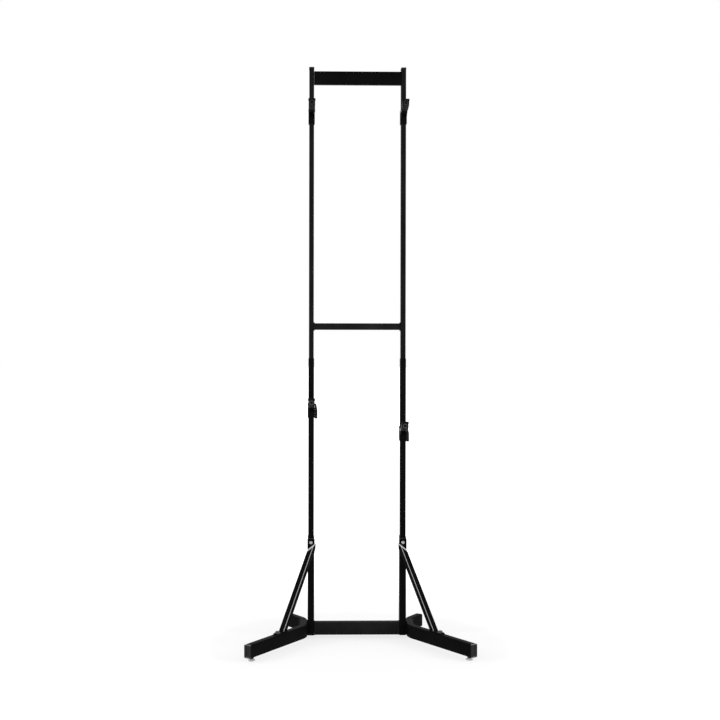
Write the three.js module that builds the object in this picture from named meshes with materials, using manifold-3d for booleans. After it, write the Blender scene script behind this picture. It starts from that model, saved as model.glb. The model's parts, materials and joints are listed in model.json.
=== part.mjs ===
// Free-standing two tier bike rack: a splayed tube base, two telescoped uprights tied by
// crossbars and a top plate, and four padded arms on carriages that slide on the uprights.
// Millimetres, +Z up, the front towards -Y, the origin under the middle of the footprint.
import * as THREE from 'three';
import { mergeVertices } from 'three/addons/utils/BufferGeometryUtils.js';
import Module from 'manifold-3d';

const wasm = await Module();
wasm.setup();

// Clearances
const touchGap = 0.3;
const slideGap = 0.5;
const boltGap = 0.4;
const overcut = 2;

// Base
const footHeight = 13;
const baseTube = { height: 45, width: 26, wall: 1.8 };
const legSplay = THREE.MathUtils.degToRad(32.7);
const legCornerY = 52;
const legBendRadius = 85;
const frontReach = 344;
const rearReach = 84;
const endCap = { rim: 3, plug: 12 };
const footInset = 22;
const foot = { padRadius: 12, padHeight: 5, padLip: 1.2, studRadius: 4, studTop: 34 };
const footNut = { acrossFlats: 13, height: 5 };
const crossbar = { depth: 30, wall: 1.8, plate: 4, plateDepth: 32.5 };

// Uprights
const postSpacing = 326;
const basePost = { width: 23, depth: 44, wall: 1.2, overTab: 4 };
const lowerTube = { width: 20, depth: 40, wall: 1.2, inPost: 162, top: 994 };
const upperTube = { width: 17, depth: 37, wall: 1.2, inLower: 114, top: 2020 };
const uprightCap = { overhang: 0.8, rim: 3.5, dome: 2.5, plug: 16 };
const jointScrewDrop = 26;

// Bars between the uprights
const middleBar = { height: 23.5, depth: 24, wall: 1.5, overJoint: 113.5 };
const endPlate = { thickness: 3, height: 30, depth: 28 };
const peg = { radius: 3.5, length: 5 };
const drainRadius = 2.5;
const topPlate = { height: 47.2, drop: 32.7, sheet: 2, depth: 21, band: 7, bandSet: 5, frontSet: 20 };

// Braces
const brace = {
  flange: 19, sheet: 2.4, topX: 157, topForward: 30, topHeight: 328, footReach: 134,
  turn: THREE.MathUtils.degToRad(9), endTrim: 24,
};
const braceTab = { width: 26, thickness: 3, below: 24, above: 30, boltRise: 15 };
const braceFoot = { width: 22, thickness: 3, behind: 16, ahead: 46, bolt: 34 };

// Arms
const carriage = { height: 50, wall: 2.1 };
const ear = { thickness: 2.8, radius: 12, innerGap: 15.4, forward: 13, rise: 17, footDrop: 4 };
const armBar = { width: 11.4, height: 16, root: 30, spigotRadius: 5.5, length: 80 };
const armPad = {
  width: 22.5, lipWidth: 25, under: 9.6, start: 32, end: 86, ridge: 12, ridgeEnd: 37, seat: 9.6, seatLow: 3.4,
  lipStart: 75, lip: 14.6, tipChamfer: 3,
};
const pivot = {
  boltRadius: 3, headRadius: 5.5, headHeight: 1.8, bushRadius: 5, flangeRadius: 10.5, flange: 1.4,
};
const knob = {
  length: 54, thinEnd: 5, thickEnd: 9.5, taper: 24, thinRadius: 5.5, thickRadius: 6.5, studRadius: 3, drop: 2,
};
const degree = THREE.MathUtils.degToRad(1);
const armRest = {
  upper_left: { side: -1, drop: 169, tube: upperTube, knobTurn: 90 * degree, tilt: 12 * degree, roll: 0 },
  upper_right: { side: 1, drop: 169, tube: upperTube, knobTurn: 90 * degree, tilt: 12 * degree, roll: 0 },
  lower_left: { side: -1, drop: 185, tube: lowerTube, knobTurn: 0, tilt: 13 * degree, roll: 0 },
  lower_right: { side: 1, drop: 267, tube: lowerTube, knobTurn: 0, tilt: 14 * degree, roll: 0 },
};

// Fasteners
const bolt = { radius: 4, headRadius: 6.2, headHeight: 4.2 };
const footBolt = { washerRadius: 10, washer: 2, headRadius: 7, headHeight: 5, grip: 12 };
const screw = { radius: 2.5, headRadius: 4.5, headHeight: 2, length: 6 };

// Facets round a full circle, and along a bend
const roundSides = 16;
const bendSteps = 7;
const domeSteps = 3;

// Places worked out from the driving dimensions
const legTop = footHeight + baseTube.height;
const baseMiddle = footHeight + baseTube.height / 2;
const postX = postSpacing / 2;
const tabBolt = brace.topHeight + braceTab.boltRise;
const postTop = brace.topHeight + braceTab.above + basePost.overTab;
const lowerBottom = postTop - lowerTube.inPost;
const upperBottom = lowerTube.top - upperTube.inLower;
const jointScrewHeight = lowerTube.top - jointScrewDrop;
const middleBarHeight = lowerTube.top + middleBar.overJoint;
const topPlateHeight = upperTube.top - topPlate.drop;
const legFlatX = postX + basePost.width / 2 + touchGap + baseTube.width / 2;
const legOuterX = legFlatX + baseTube.width / 2;
const bendCentreX = legFlatX + legBendRadius;
const bendCentreY = legCornerY - legBendRadius * Math.tan(legSplay / 2);
const uprightShiftY = ((frontReach - rearReach) / 2) * Math.cos(legSplay);
const forward = new THREE.Vector2(Math.sin(legSplay), -Math.cos(legSplay));
const backward = new THREE.Vector2(Math.sin(legSplay), Math.cos(legSplay));

const finish = {
  powderBlack: { color: 0x1b1b1c, roughness: 0.42, metalness: 0.15 },
  endPlastic: { color: 0x34363a, roughness: 0.55, metalness: 0 },
  rubber: { color: 0x1e1e1f, roughness: 0.85, metalness: 0 },
  zinc: { color: 0xb9bcc0, roughness: 0.3, metalness: 1 },
  blackSteel: { color: 0x414144, roughness: 0.42, metalness: 1 },
  nylon: { color: 0x232325, roughness: 0.5, metalness: 0 },
  footPlastic: { color: 0xc9cbcc, roughness: 0.5, metalness: 0 },
};

// Geometry helpers

function solid(geometry) {
  const bare = geometry.index ? geometry.toNonIndexed() : geometry.clone();
  bare.deleteAttribute('normal');
  bare.deleteAttribute('uv');
  const merged = mergeVertices(bare);
  return new wasm.Manifold(new wasm.Mesh({
    numProp: 3,
    vertProperties: Float32Array.from(merged.attributes.position.array),
    triVerts: Uint32Array.from(merged.index.array),
  }));
}

function geometryOf(manifold) {
  const mesh = manifold.getMesh();
  const geometry = new THREE.BufferGeometry();
  geometry.setAttribute('position', new THREE.BufferAttribute(Float32Array.from(mesh.vertProperties), 3));
  geometry.setIndex(new THREE.BufferAttribute(Uint32Array.from(mesh.triVerts), 1));
  return geometry;
}

function block(x, y, z, centreX = 0, centreY = 0, centreZ = 0) {
  return solid(new THREE.BoxGeometry(x, y, z).translate(centreX, centreY, centreZ));
}

// Standing rectangular tube between two heights, open at both ends.
function standingTube({ width, depth, wall }, low, high) {
  const middle = (low + high) / 2;
  const length = high - low;
  const bore = block(width - 2 * wall, depth - 2 * wall, length + overcut, 0, 0, middle);
  return block(width, depth, length, 0, 0, middle).subtract(bore);
}

// Round rod along an axis, its middle at a point.
function rod(radius, length, axis, centre) {
  const geometry = new THREE.CylinderGeometry(radius, radius, length, roundSides);
  if (axis === 'x') geometry.rotateZ(Math.PI / 2);
  if (axis === 'z') geometry.rotateX(Math.PI / 2);
  return solid(geometry.translate(centre.x, centre.y, centre.z));
}

// Turned piece about +Z from a profile of [radius, height] points.
function turned(points) {
  const profile = points.map(([radius, height]) => new THREE.Vector2(radius, height));
  return new THREE.LatheGeometry(profile, roundSides).rotateX(Math.PI / 2);
}

function domePoints(radius, base, height) {
  const points = [];
  for (let step = 0; step <= domeSteps; step += 1) {
    const angle = ((step / domeSteps) * Math.PI) / 2;
    points.push([radius * Math.cos(angle), base + height * Math.sin(angle)]);
  }
  points[domeSteps][0] = 0;
  return points;
}

// Outline standing in the YZ plane, given as forward distance and height, thickened along X.
function sidePlate(shape, thickness, centreX) {
  const geometry = new THREE.ExtrudeGeometry(shape, {
    depth: thickness, bevelEnabled: false, curveSegments: bendSteps,
  });
  const toSide = new THREE.Matrix4().makeBasis(
    new THREE.Vector3(0, -1, 0), new THREE.Vector3(0, 0, 1), new THREE.Vector3(-1, 0, 0),
  );
  geometry.applyMatrix4(toSide);
  return solid(geometry.translate(centreX + thickness / 2, 0, 0));
}

function mirrored(geometry) {
  const copy = geometry.clone().scale(-1, 1, 1);
  const index = copy.index.array;
  for (let corner = 0; corner < index.length; corner += 3) {
    [index[corner], index[corner + 1]] = [index[corner + 1], index[corner]];
  }
  return copy;
}

const rack = new THREE.Group();
const frame = new THREE.Group();
frame.position.y = uprightShiftY;
rack.add(frame);

function addPiece(name, shape, look, parent = frame) {
  const geometry = shape instanceof wasm.Manifold ? geometryOf(shape) : shape;
  const mesh = new THREE.Mesh(geometry, new THREE.MeshStandardMaterial(look));
  mesh.name = name;
  parent.add(mesh);
  return mesh;
}

// Pieces drawn once for the right side, and mirrored for the left.
function addPair(name, shape, look) {
  const right = geometryOf(shape);
  addPiece(`right_${name}`, right, look);
  addPiece(`left_${name}`, mirrored(right), look);
}

// Base legs: rectangular tube with a flat against the base post and a bend at each end of it

function legPoint(direction, reach, height) {
  const cornerY = Math.sign(direction.y) * legCornerY;
  return new THREE.Vector3(legFlatX + direction.x * reach, cornerY + direction.y * reach, height);
}

function legOutline(halfWidth, front, rear) {
  const frontSide = new THREE.Vector3(-Math.cos(legSplay), -Math.sin(legSplay), 0);
  const rearSide = new THREE.Vector3(-Math.cos(legSplay), Math.sin(legSplay), 0);
  const end = (direction, reach, side, offset) => legPoint(direction, reach, 0).addScaledVector(side, offset);
  const frontInner = end(forward, front, frontSide, halfWidth);
  const rearInner = end(backward, rear, rearSide, halfWidth);
  const rearOuter = end(backward, rear, rearSide, -halfWidth);
  const frontOuter = end(forward, front, frontSide, -halfWidth);
  const bulge = legBendRadius + halfWidth;
  const hollow = legBendRadius - halfWidth;
  const shape = new THREE.Shape();
  shape.moveTo(frontOuter.x, frontOuter.y);
  shape.lineTo(frontInner.x, frontInner.y);
  shape.absarc(bendCentreX, -bendCentreY, bulge, Math.PI + legSplay, Math.PI, true);
  shape.absarc(bendCentreX, bendCentreY, bulge, Math.PI, Math.PI - legSplay, true);
  shape.lineTo(rearInner.x, rearInner.y);
  shape.lineTo(rearOuter.x, rearOuter.y);
  shape.absarc(bendCentreX, bendCentreY, hollow, Math.PI - legSplay, Math.PI, false);
  shape.absarc(bendCentreX, -bendCentreY, hollow, Math.PI, Math.PI + legSplay, false);
  shape.closePath();
  return shape;
}

function legPrism(halfWidth, extra, low, high) {
  const outline = legOutline(halfWidth, frontReach + extra, rearReach + extra);
  const geometry = new THREE.ExtrudeGeometry(outline, {
    depth: high - low, bevelEnabled: false, curveSegments: bendSteps,
  });
  return solid(geometry.translate(0, 0, low));
}

const footPlaces = {
  front: { direction: forward, reach: frontReach },
  rear: { direction: backward, reach: rearReach },
};

function baseLeg() {
  const half = baseTube.width / 2;
  const wall = baseTube.wall;
  let leg = legPrism(half, 0, footHeight, legTop);
  leg = leg.subtract(legPrism(half - wall, overcut, footHeight + wall, legTop - wall));
  for (const place of Object.values(footPlaces)) {
    const centre = legPoint(place.direction, place.reach - footInset, footHeight);
    leg = leg.subtract(rod(foot.studRadius + boltGap, 2 * wall + overcut, 'z', centre));
  }
  const boltPlace = legPoint(forward, brace.footReach + braceFoot.bolt, legTop);
  leg = leg.subtract(rod(bolt.radius + boltGap, 2 * wall + overcut, 'z', boltPlace));
  const boltLine = new THREE.Vector3(legFlatX, 0, baseMiddle);
  return leg.subtract(rod(bolt.radius + boltGap, baseTube.width + 2 * overcut, 'x', boltLine));
}

addPair('base_leg', baseLeg(), finish.powderBlack);

function legEndCap() {
  const plugWidth = baseTube.width - 2 * (baseTube.wall + touchGap);
  const plugHeight = baseTube.height - 2 * (baseTube.wall + touchGap);
  const rim = block(baseTube.width, endCap.rim, baseTube.height, 0, touchGap + endCap.rim / 2, 0);
  const plugLength = endCap.plug + endCap.rim;
  const plug = block(plugWidth, plugLength, plugHeight, 0, touchGap + endCap.rim / 2 - plugLength / 2, 0);
  return rim.add(plug);
}

function levellingFoot() {
  return turned([
    [0, 0],
    [foot.padRadius - foot.padLip, 0],
    [foot.padRadius, foot.padLip],
    [foot.padRadius, foot.padHeight - foot.padLip],
    [foot.studRadius + foot.padLip, foot.padHeight],
    [foot.studRadius, foot.padHeight],
    [foot.studRadius, foot.studTop],
    [0, foot.studTop],
  ]);
}

function hexNut(acrossFlats, height, holeRadius) {
  const corner = acrossFlats / 2 / Math.cos(Math.PI / 6);
  const outer = solid(new THREE.CylinderGeometry(corner, corner, height, 6).rotateX(Math.PI / 2));
  return outer.subtract(rod(holeRadius, height + overcut, 'z', new THREE.Vector3()));
}

for (const [side, sideName] of [[1, 'right'], [-1, 'left']]) {
  for (const [end, place] of Object.entries(footPlaces)) {
    const turn = end === 'front' ? Math.PI + side * legSplay : -side * legSplay;
    const capPlace = legPoint(place.direction, place.reach, baseMiddle);
    const cap = addPiece(`${sideName}_${end}_end_cap`, legEndCap(), finish.endPlastic);
    cap.position.set(side * capPlace.x, capPlace.y, capPlace.z);
    cap.rotation.z = turn;

    const footPlace = legPoint(place.direction, place.reach - footInset, 0);
    const pad = addPiece(`${sideName}_${end}_levelling_foot`, levellingFoot(), finish.footPlastic);
    pad.position.set(side * footPlace.x, footPlace.y, 0);

    const nutShape = hexNut(footNut.acrossFlats, footNut.height, foot.studRadius + boltGap);
    const nut = addPiece(`${sideName}_${end}_foot_nut`, nutShape, finish.blackSteel);
    const nutHeight = footHeight - touchGap - footNut.height / 2;
    nut.position.set(side * footPlace.x, footPlace.y, nutHeight);
    nut.rotation.z = turn;
  }
}

// Base crossbar: a tube with a plate across each end, bolted between the base posts

function baseCrossbar() {
  const faceX = postX - basePost.width / 2 - touchGap;
  const tubeHalf = faceX - crossbar.plate;
  let bar = block(2 * tubeHalf, crossbar.depth, baseTube.height, 0, 0, baseMiddle);
  bar = bar.subtract(block(
    2 * tubeHalf, crossbar.depth - 2 * crossbar.wall, baseTube.height - 2 * crossbar.wall, 0, 0, baseMiddle,
  ));
  for (const side of [1, -1]) {
    const plateX = side * (faceX - crossbar.plate / 2);
    bar = bar.add(block(crossbar.plate, crossbar.plateDepth, baseTube.height, plateX, 0, baseMiddle));
  }
  const boltLine = new THREE.Vector3(0, 0, baseMiddle);
  return bar.subtract(rod(bolt.radius + boltGap, 2 * postX, 'x', boltLine));
}

addPiece('base_crossbar', baseCrossbar(), finish.powderBlack);

// A cap bolt along +Z: dome head above the seat, shank below it.
function domeBolt(headRadius, headHeight, radius, grip) {
  return turned([[0, -grip], [radius, -grip], [radius, 0], ...domePoints(headRadius, 0, headHeight)]);
}

const crossbarGrip = baseTube.width + basePost.width + crossbar.plate + 2 * overcut;
for (const [side, sideName] of [[1, 'right'], [-1, 'left']]) {
  const shape = domeBolt(bolt.headRadius, bolt.headHeight, bolt.radius, crossbarGrip);
  const piece = addPiece(`${sideName}_crossbar_bolt`, shape, finish.zinc);
  piece.position.set(side * (legOuterX + touchGap), 0, baseMiddle);
  piece.rotation.y = (side * Math.PI) / 2;
}

// Uprights: base post on the bend, lower tube in the post, upper tube in the lower tube

function punched(tube, depth, height, rear, radius) {
  const y = rear ? depth / 2 : -depth / 2;
  return tube.subtract(rod(radius, 2 * basePost.wall + 2 * overcut, 'y', new THREE.Vector3(0, y, height)));
}

function pegHoles(tube, width, heights) {
  let result = tube;
  for (const height of heights) {
    const place = new THREE.Vector3(-width / 2, 0, height);
    result = result.subtract(rod(peg.radius + boltGap, 2 * upperTube.wall + overcut, 'x', place));
  }
  return result;
}

const boltHole = bolt.radius + boltGap;
const screwHole = screw.radius + boltGap;
let postShape = standingTube(basePost, footHeight, postTop);
postShape = punched(postShape, basePost.depth, tabBolt, false, boltHole);
const crossbarBoltLine = new THREE.Vector3(0, 0, baseMiddle);
postShape = postShape.subtract(rod(boltHole, basePost.width + overcut, 'x', crossbarBoltLine));
let lowerShape = standingTube(lowerTube, lowerBottom, lowerTube.top);
lowerShape = punched(lowerShape, lowerTube.depth, tabBolt, false, boltHole);
lowerShape = punched(lowerShape, lowerTube.depth, jointScrewHeight, true, screwHole);
let upperShape = standingTube(upperTube, upperBottom, upperTube.top);
upperShape = punched(upperShape, upperTube.depth, jointScrewHeight, true, screwHole);
upperShape = pegHoles(upperShape, upperTube.width, [middleBarHeight, topPlateHeight]);

function domedCap() {
  const width = upperTube.width + 2 * uprightCap.overhang;
  const depth = upperTube.depth + 2 * uprightCap.overhang;
  const topShare = 0.7;
  const low = upperTube.top + touchGap;
  const rimHeight = uprightCap.rim - touchGap;
  const rim = block(width, depth, rimHeight, 0, 0, low + rimHeight / 2);
  const crown = new THREE.CylinderGeometry(topShare * Math.SQRT1_2, Math.SQRT1_2, uprightCap.dome, 4);
  crown.rotateY(Math.PI / 4).rotateX(Math.PI / 2).scale(width, depth, 1);
  crown.translate(0, 0, upperTube.top + uprightCap.rim + uprightCap.dome / 2);
  const plugWidth = upperTube.width - 2 * (upperTube.wall + touchGap);
  const plugDepth = upperTube.depth - 2 * (upperTube.wall + touchGap);
  const plugHeight = uprightCap.plug + touchGap + overcut;
  const plug = block(plugWidth, plugDepth, plugHeight, 0, 0, low + overcut - plugHeight / 2);
  return rim.add(solid(crown)).add(plug);
}

for (const [side, sideName] of [[1, 'right'], [-1, 'left']]) {
  const stack = new THREE.Group();
  stack.position.x = side * postX;
  frame.add(stack);
  const own = (shape) => (side > 0 ? geometryOf(shape) : mirrored(geometryOf(shape)));
  addPiece(`${sideName}_base_post`, own(postShape), finish.powderBlack, stack);
  addPiece(`${sideName}_lower_upright`, own(lowerShape), finish.powderBlack, stack);
  addPiece(`${sideName}_upper_upright`, own(upperShape), finish.powderBlack, stack);
  addPiece(`${sideName}_upright_cap`, own(domedCap()), finish.endPlastic, stack);

  const jointScrew = domeBolt(screw.headRadius, screw.headHeight, screw.radius, screw.length);
  const screwPiece = addPiece(`${sideName}_joint_screw`, jointScrew, finish.zinc, stack);
  screwPiece.position.set(0, lowerTube.depth / 2 + touchGap, jointScrewHeight);
  screwPiece.rotation.x = -Math.PI / 2;
}

// Bars between the uprights

function barPeg(side, faceX, height) {
  const middleX = side * (faceX + peg.length / 2 - overcut / 2);
  return rod(peg.radius, peg.length + overcut, 'x', new THREE.Vector3(middleX, 0, height));
}

function middleCrossbar() {
  const faceX = postX - upperTube.width / 2 - touchGap;
  const tubeHalf = faceX - endPlate.thickness;
  let bar = block(2 * tubeHalf, middleBar.depth, middleBar.height, 0, 0, middleBarHeight);
  bar = bar.subtract(block(
    2 * tubeHalf, middleBar.depth - 2 * middleBar.wall, middleBar.height - 2 * middleBar.wall,
    0, 0, middleBarHeight,
  ));
  const drain = new THREE.Vector3(0, 0, middleBarHeight - middleBar.height / 2);
  bar = bar.subtract(rod(drainRadius, 2 * middleBar.wall + overcut, 'z', drain));
  for (const side of [1, -1]) {
    const plateX = side * (faceX - endPlate.thickness / 2);
    bar = bar.add(block(endPlate.thickness, endPlate.depth, endPlate.height, plateX, 0, middleBarHeight));
    bar = bar.add(barPeg(side, faceX, middleBarHeight));
  }
  return bar;
}

addPiece('middle_crossbar', middleCrossbar(), finish.powderBlack);

// Top plate: one folded sheet with sloped bands above and below its front, and end plates.
function topPlateProfile() {
  const half = topPlate.height / 2;
  const outer = [
    [topPlate.frontSet - topPlate.depth, half],
    [topPlate.frontSet - topPlate.bandSet, half],
    [topPlate.frontSet, half - topPlate.band],
    [topPlate.frontSet, topPlate.band - half],
    [topPlate.frontSet - topPlate.bandSet, -half],
    [topPlate.frontSet - topPlate.depth, -half],
  ];
  const innerHalf = half - topPlate.sheet;
  const innerFront = topPlate.frontSet - topPlate.sheet;
  const inner = [
    [topPlate.frontSet - topPlate.depth, -innerHalf],
    [innerFront - topPlate.bandSet, -innerHalf],
    [innerFront, topPlate.band - half],
    [innerFront, half - topPlate.band],
    [innerFront - topPlate.bandSet, innerHalf],
    [topPlate.frontSet - topPlate.depth, innerHalf],
  ];
  return new THREE.Shape([...outer, ...inner].map(([x, y]) => new THREE.Vector2(x, y)));
}

function topPlateShape() {
  const faceX = postX - upperTube.width / 2 - touchGap;
  const half = topPlate.height / 2;
  const plateDepth = topPlate.depth - topPlate.bandSet;
  const plateMiddleY = -(topPlate.frontSet - topPlate.bandSet - plateDepth / 2);
  let plate = sidePlate(topPlateProfile(), 2 * faceX - endPlate.thickness, 0);
  for (const side of [1, -1]) {
    const plateX = side * (faceX - endPlate.thickness / 2);
    plate = plate.add(block(endPlate.thickness, plateDepth, 2 * half, plateX, plateMiddleY, 0));
    plate = plate.add(barPeg(side, faceX, 0));
  }
  return plate;
}

addPiece('top_plate', topPlateShape(), finish.powderBlack).position.z = topPlateHeight;

// Braces: an angle section, ridge to the front, with a tab on the post and a foot on the leg

function braceShape() {
  const top = new THREE.Vector3(brace.topX, -brace.topForward, brace.topHeight);
  const bottom = legPoint(forward, brace.footReach, legTop);
  const along = bottom.clone().sub(top).normalize();
  const facing = new THREE.Vector3(0, -1, 0);
  const ridge = facing.addScaledVector(along, -facing.dot(along)).normalize();
  ridge.applyAxisAngle(along, brace.turn);
  const across = new THREE.Vector3().crossVectors(ridge, along);
  const flangeA = ridge.clone().negate().sub(across).normalize();
  const flangeB = ridge.clone().negate().add(across).normalize();
  const angle = new THREE.Shape([
    new THREE.Vector2(0, 0),
    new THREE.Vector2(brace.flange, 0),
    new THREE.Vector2(brace.flange, brace.sheet),
    new THREE.Vector2(brace.sheet, brace.sheet),
    new THREE.Vector2(brace.sheet, brace.flange),
    new THREE.Vector2(0, brace.flange),
  ]);
  const length = top.distanceTo(bottom) + 2 * brace.endTrim;
  const geometry = new THREE.ExtrudeGeometry(angle, { depth: length, bevelEnabled: false });
  const turnTo = new THREE.Matrix4().makeBasis(flangeA, flangeB, along);
  const start = top.clone().addScaledVector(along, -brace.endTrim);
  turnTo.setPosition(start.addScaledVector(ridge, brace.flange * Math.SQRT1_2 / 2));
  geometry.applyMatrix4(turnTo);
  return solid(geometry);
}

function rightBrace() {
  const tabBack = -basePost.depth / 2 - touchGap;
  const tabMiddle = brace.topHeight + (braceTab.above - braceTab.below) / 2;
  const tab = block(
    braceTab.width, braceTab.thickness, braceTab.above + braceTab.below,
    postX, tabBack - braceTab.thickness / 2, tabMiddle,
  );
  const footLength = braceFoot.behind + braceFoot.ahead;
  const footBlank = new THREE.BoxGeometry(braceFoot.width, footLength, braceFoot.thickness);
  const footBottom = legTop + touchGap;
  const footMiddle = legPoint(
    forward, brace.footReach + (braceFoot.ahead - braceFoot.behind) / 2, footBottom + braceFoot.thickness / 2,
  );
  footBlank.rotateZ(legSplay).translate(footMiddle.x, footMiddle.y, footMiddle.z);
  const reach = 3 * frontReach;
  const behindPost = block(reach, reach, reach, 0, tabBack + reach / 2, 0);
  const underFoot = block(reach, reach, reach, 0, 0, footBottom - reach / 2);
  const overTab = block(reach, reach, reach, 0, 0, brace.topHeight + reach / 2);
  const boltPlace = legPoint(forward, brace.footReach + braceFoot.bolt, footBottom);
  const tabBoltLine = new THREE.Vector3(postX, tabBack, tabBolt);
  return braceShape()
    .subtract(behindPost)
    .subtract(underFoot)
    .subtract(overTab)
    .add(tab)
    .add(solid(footBlank))
    .subtract(rod(boltHole, braceTab.thickness + 2 * overcut, 'y', tabBoltLine))
    .subtract(rod(boltHole, braceFoot.thickness * 2 + 2 * overcut, 'z', boltPlace));
}

addPair('brace', rightBrace(), finish.powderBlack);

function washerBolt() {
  return turned([
    [0, -footBolt.grip],
    [bolt.radius, -footBolt.grip],
    [bolt.radius, 0],
    [footBolt.washerRadius, 0],
    [footBolt.washerRadius, footBolt.washer],
    ...domePoints(footBolt.headRadius, footBolt.washer, footBolt.headHeight),
  ]);
}

for (const [side, sideName] of [[1, 'right'], [-1, 'left']]) {
  const grip = braceTab.thickness + basePost.wall + lowerTube.wall + 2 * overcut;
  const topShape = domeBolt(bolt.headRadius, bolt.headHeight, bolt.radius, grip);
  const topBolt = addPiece(`${sideName}_brace_top_bolt`, topShape, finish.zinc);
  const seatY = -basePost.depth / 2 - braceTab.thickness - 2 * touchGap;
  topBolt.position.set(side * postX, seatY, tabBolt);
  topBolt.rotation.x = Math.PI / 2;

  const seatHeight = legTop + braceFoot.thickness + 2 * touchGap;
  const place = legPoint(forward, brace.footReach + braceFoot.bolt, seatHeight);
  const lowBolt = addPiece(`${sideName}_brace_foot_bolt`, washerBolt(), finish.zinc);
  lowBolt.position.set(side * place.x, place.y, place.z);
}

// Arms: carriage on the upright, bar on a pivot between its ears, padded cradle, clamp knob

function carriageShape(tube, knobTurn) {
  const inner = { width: tube.width + 2 * slideGap, depth: tube.depth + 2 * slideGap };
  const outer = { width: inner.width + 2 * carriage.wall, depth: inner.depth + 2 * carriage.wall };
  const half = carriage.height / 2;
  let body = block(outer.width, outer.depth, carriage.height);
  const front = outer.depth / 2;
  const outline = new THREE.Shape();
  outline.moveTo(front - carriage.wall, -ear.footDrop);
  outline.lineTo(front + overcut, -ear.footDrop);
  outline.absarc(front + ear.forward, ear.rise, ear.radius, -Math.PI / 4, Math.PI / 2, false);
  outline.lineTo(front - carriage.wall, half);
  outline.closePath();
  for (const side of [1, -1]) {
    const centreX = side * (ear.innerGap / 2 + ear.thickness / 2);
    body = body.add(sidePlate(outline, ear.thickness, centreX));
  }
  body = body.subtract(block(inner.width, inner.depth, carriage.height + overcut));
  const pivotPlace = new THREE.Vector3(0, -(front + ear.forward), ear.rise);
  const pivotLength = ear.innerGap + 2 * ear.thickness + overcut;
  body = body.subtract(rod(pivot.boltRadius + boltGap, pivotLength, 'x', pivotPlace));
  const alongX = knobTurn === 0;
  const reach = (alongX ? outer.width : outer.depth) / 2;
  const studPlace = new THREE.Vector3(alongX ? reach : 0, alongX ? 0 : reach, -knob.drop);
  const studHole = rod(knob.studRadius + boltGap, 2 * carriage.wall + overcut, alongX ? 'x' : 'y', studPlace);
  return body.subtract(studHole);
}

// Flat root between the ears, round end for the cradle to roll on.
function armBarShape() {
  const half = armBar.height / 2;
  const outline = new THREE.Shape();
  outline.moveTo(armBar.root, -half);
  outline.lineTo(armBar.root, half);
  outline.absarc(0, 0, half, Math.PI / 2, (3 * Math.PI) / 2, false);
  outline.closePath();
  const spigotStart = armBar.root - overcut;
  const spigotMiddle = new THREE.Vector3(0, -(spigotStart + armBar.length) / 2, 0);
  return sidePlate(outline, armBar.width, 0)
    .subtract(rod(pivot.bushRadius + touchGap, armBar.width + overcut, 'x', new THREE.Vector3()))
    .add(rod(armBar.spigotRadius, armBar.length - spigotStart, 'y', spigotMiddle));
}

// Rubber cradle on the bar's round end: a ridge at the back, a hollow seat and a wide raised lip.
function cradleShape() {
  const seatMiddle = (armPad.ridgeEnd + armPad.lipStart) / 2;
  const bodyOutline = new THREE.Shape();
  bodyOutline.moveTo(armPad.start, -armPad.under);
  bodyOutline.lineTo(armPad.end - armPad.tipChamfer, -armPad.under);
  bodyOutline.lineTo(armPad.end, -armPad.under + armPad.tipChamfer);
  bodyOutline.lineTo(armPad.end, armPad.lip - armPad.tipChamfer);
  bodyOutline.lineTo(armPad.lipStart, armPad.lip - armPad.tipChamfer);
  bodyOutline.quadraticCurveTo(seatMiddle, armPad.seatLow, armPad.ridgeEnd, armPad.ridge);
  bodyOutline.lineTo(armPad.start, armPad.ridge);
  bodyOutline.closePath();
  const lipOutline = new THREE.Shape();
  lipOutline.moveTo(armPad.lipStart, armPad.seat - armPad.tipChamfer);
  lipOutline.lineTo(armPad.end, armPad.seat - armPad.tipChamfer);
  lipOutline.lineTo(armPad.end, armPad.lip - armPad.tipChamfer);
  lipOutline.lineTo(armPad.end - armPad.tipChamfer, armPad.lip);
  lipOutline.lineTo(armPad.lipStart + armPad.tipChamfer, armPad.lip);
  lipOutline.lineTo(armPad.lipStart, armPad.lip - armPad.tipChamfer);
  lipOutline.closePath();
  const boreEnd = armBar.length + touchGap;
  const boreLength = boreEnd - armPad.start + overcut;
  const boreMiddle = new THREE.Vector3(0, boreLength / 2 - boreEnd, 0);
  return sidePlate(bodyOutline, armPad.width, 0)
    .add(sidePlate(lipOutline, armPad.lipWidth, 0))
    .subtract(rod(armBar.spigotRadius + touchGap, boreLength, 'y', boreMiddle));
}

function pivotBush() {
  const half = armBar.width / 2 + touchGap;
  const outerFace = half + pivot.flange;
  const bore = pivot.boltRadius + touchGap;
  return turned([
    [bore, -outerFace],
    [pivot.flangeRadius, -outerFace],
    [pivot.flangeRadius, -half],
    [pivot.bushRadius, -half],
    [pivot.bushRadius, half],
    [pivot.flangeRadius, half],
    [pivot.flangeRadius, outerFace],
    [bore, outerFace],
    [bore, -outerFace],
  ]);
}

function pivotBolt() {
  const seat = ear.innerGap / 2 + ear.thickness + touchGap;
  return turned([
    [0, -seat - pivot.headHeight],
    [pivot.headRadius, -seat - pivot.headHeight],
    [pivot.headRadius, -seat],
    [pivot.boltRadius, -seat],
    [pivot.boltRadius, seat],
    ...domePoints(pivot.headRadius, seat, pivot.headHeight),
  ]);
}

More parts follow.
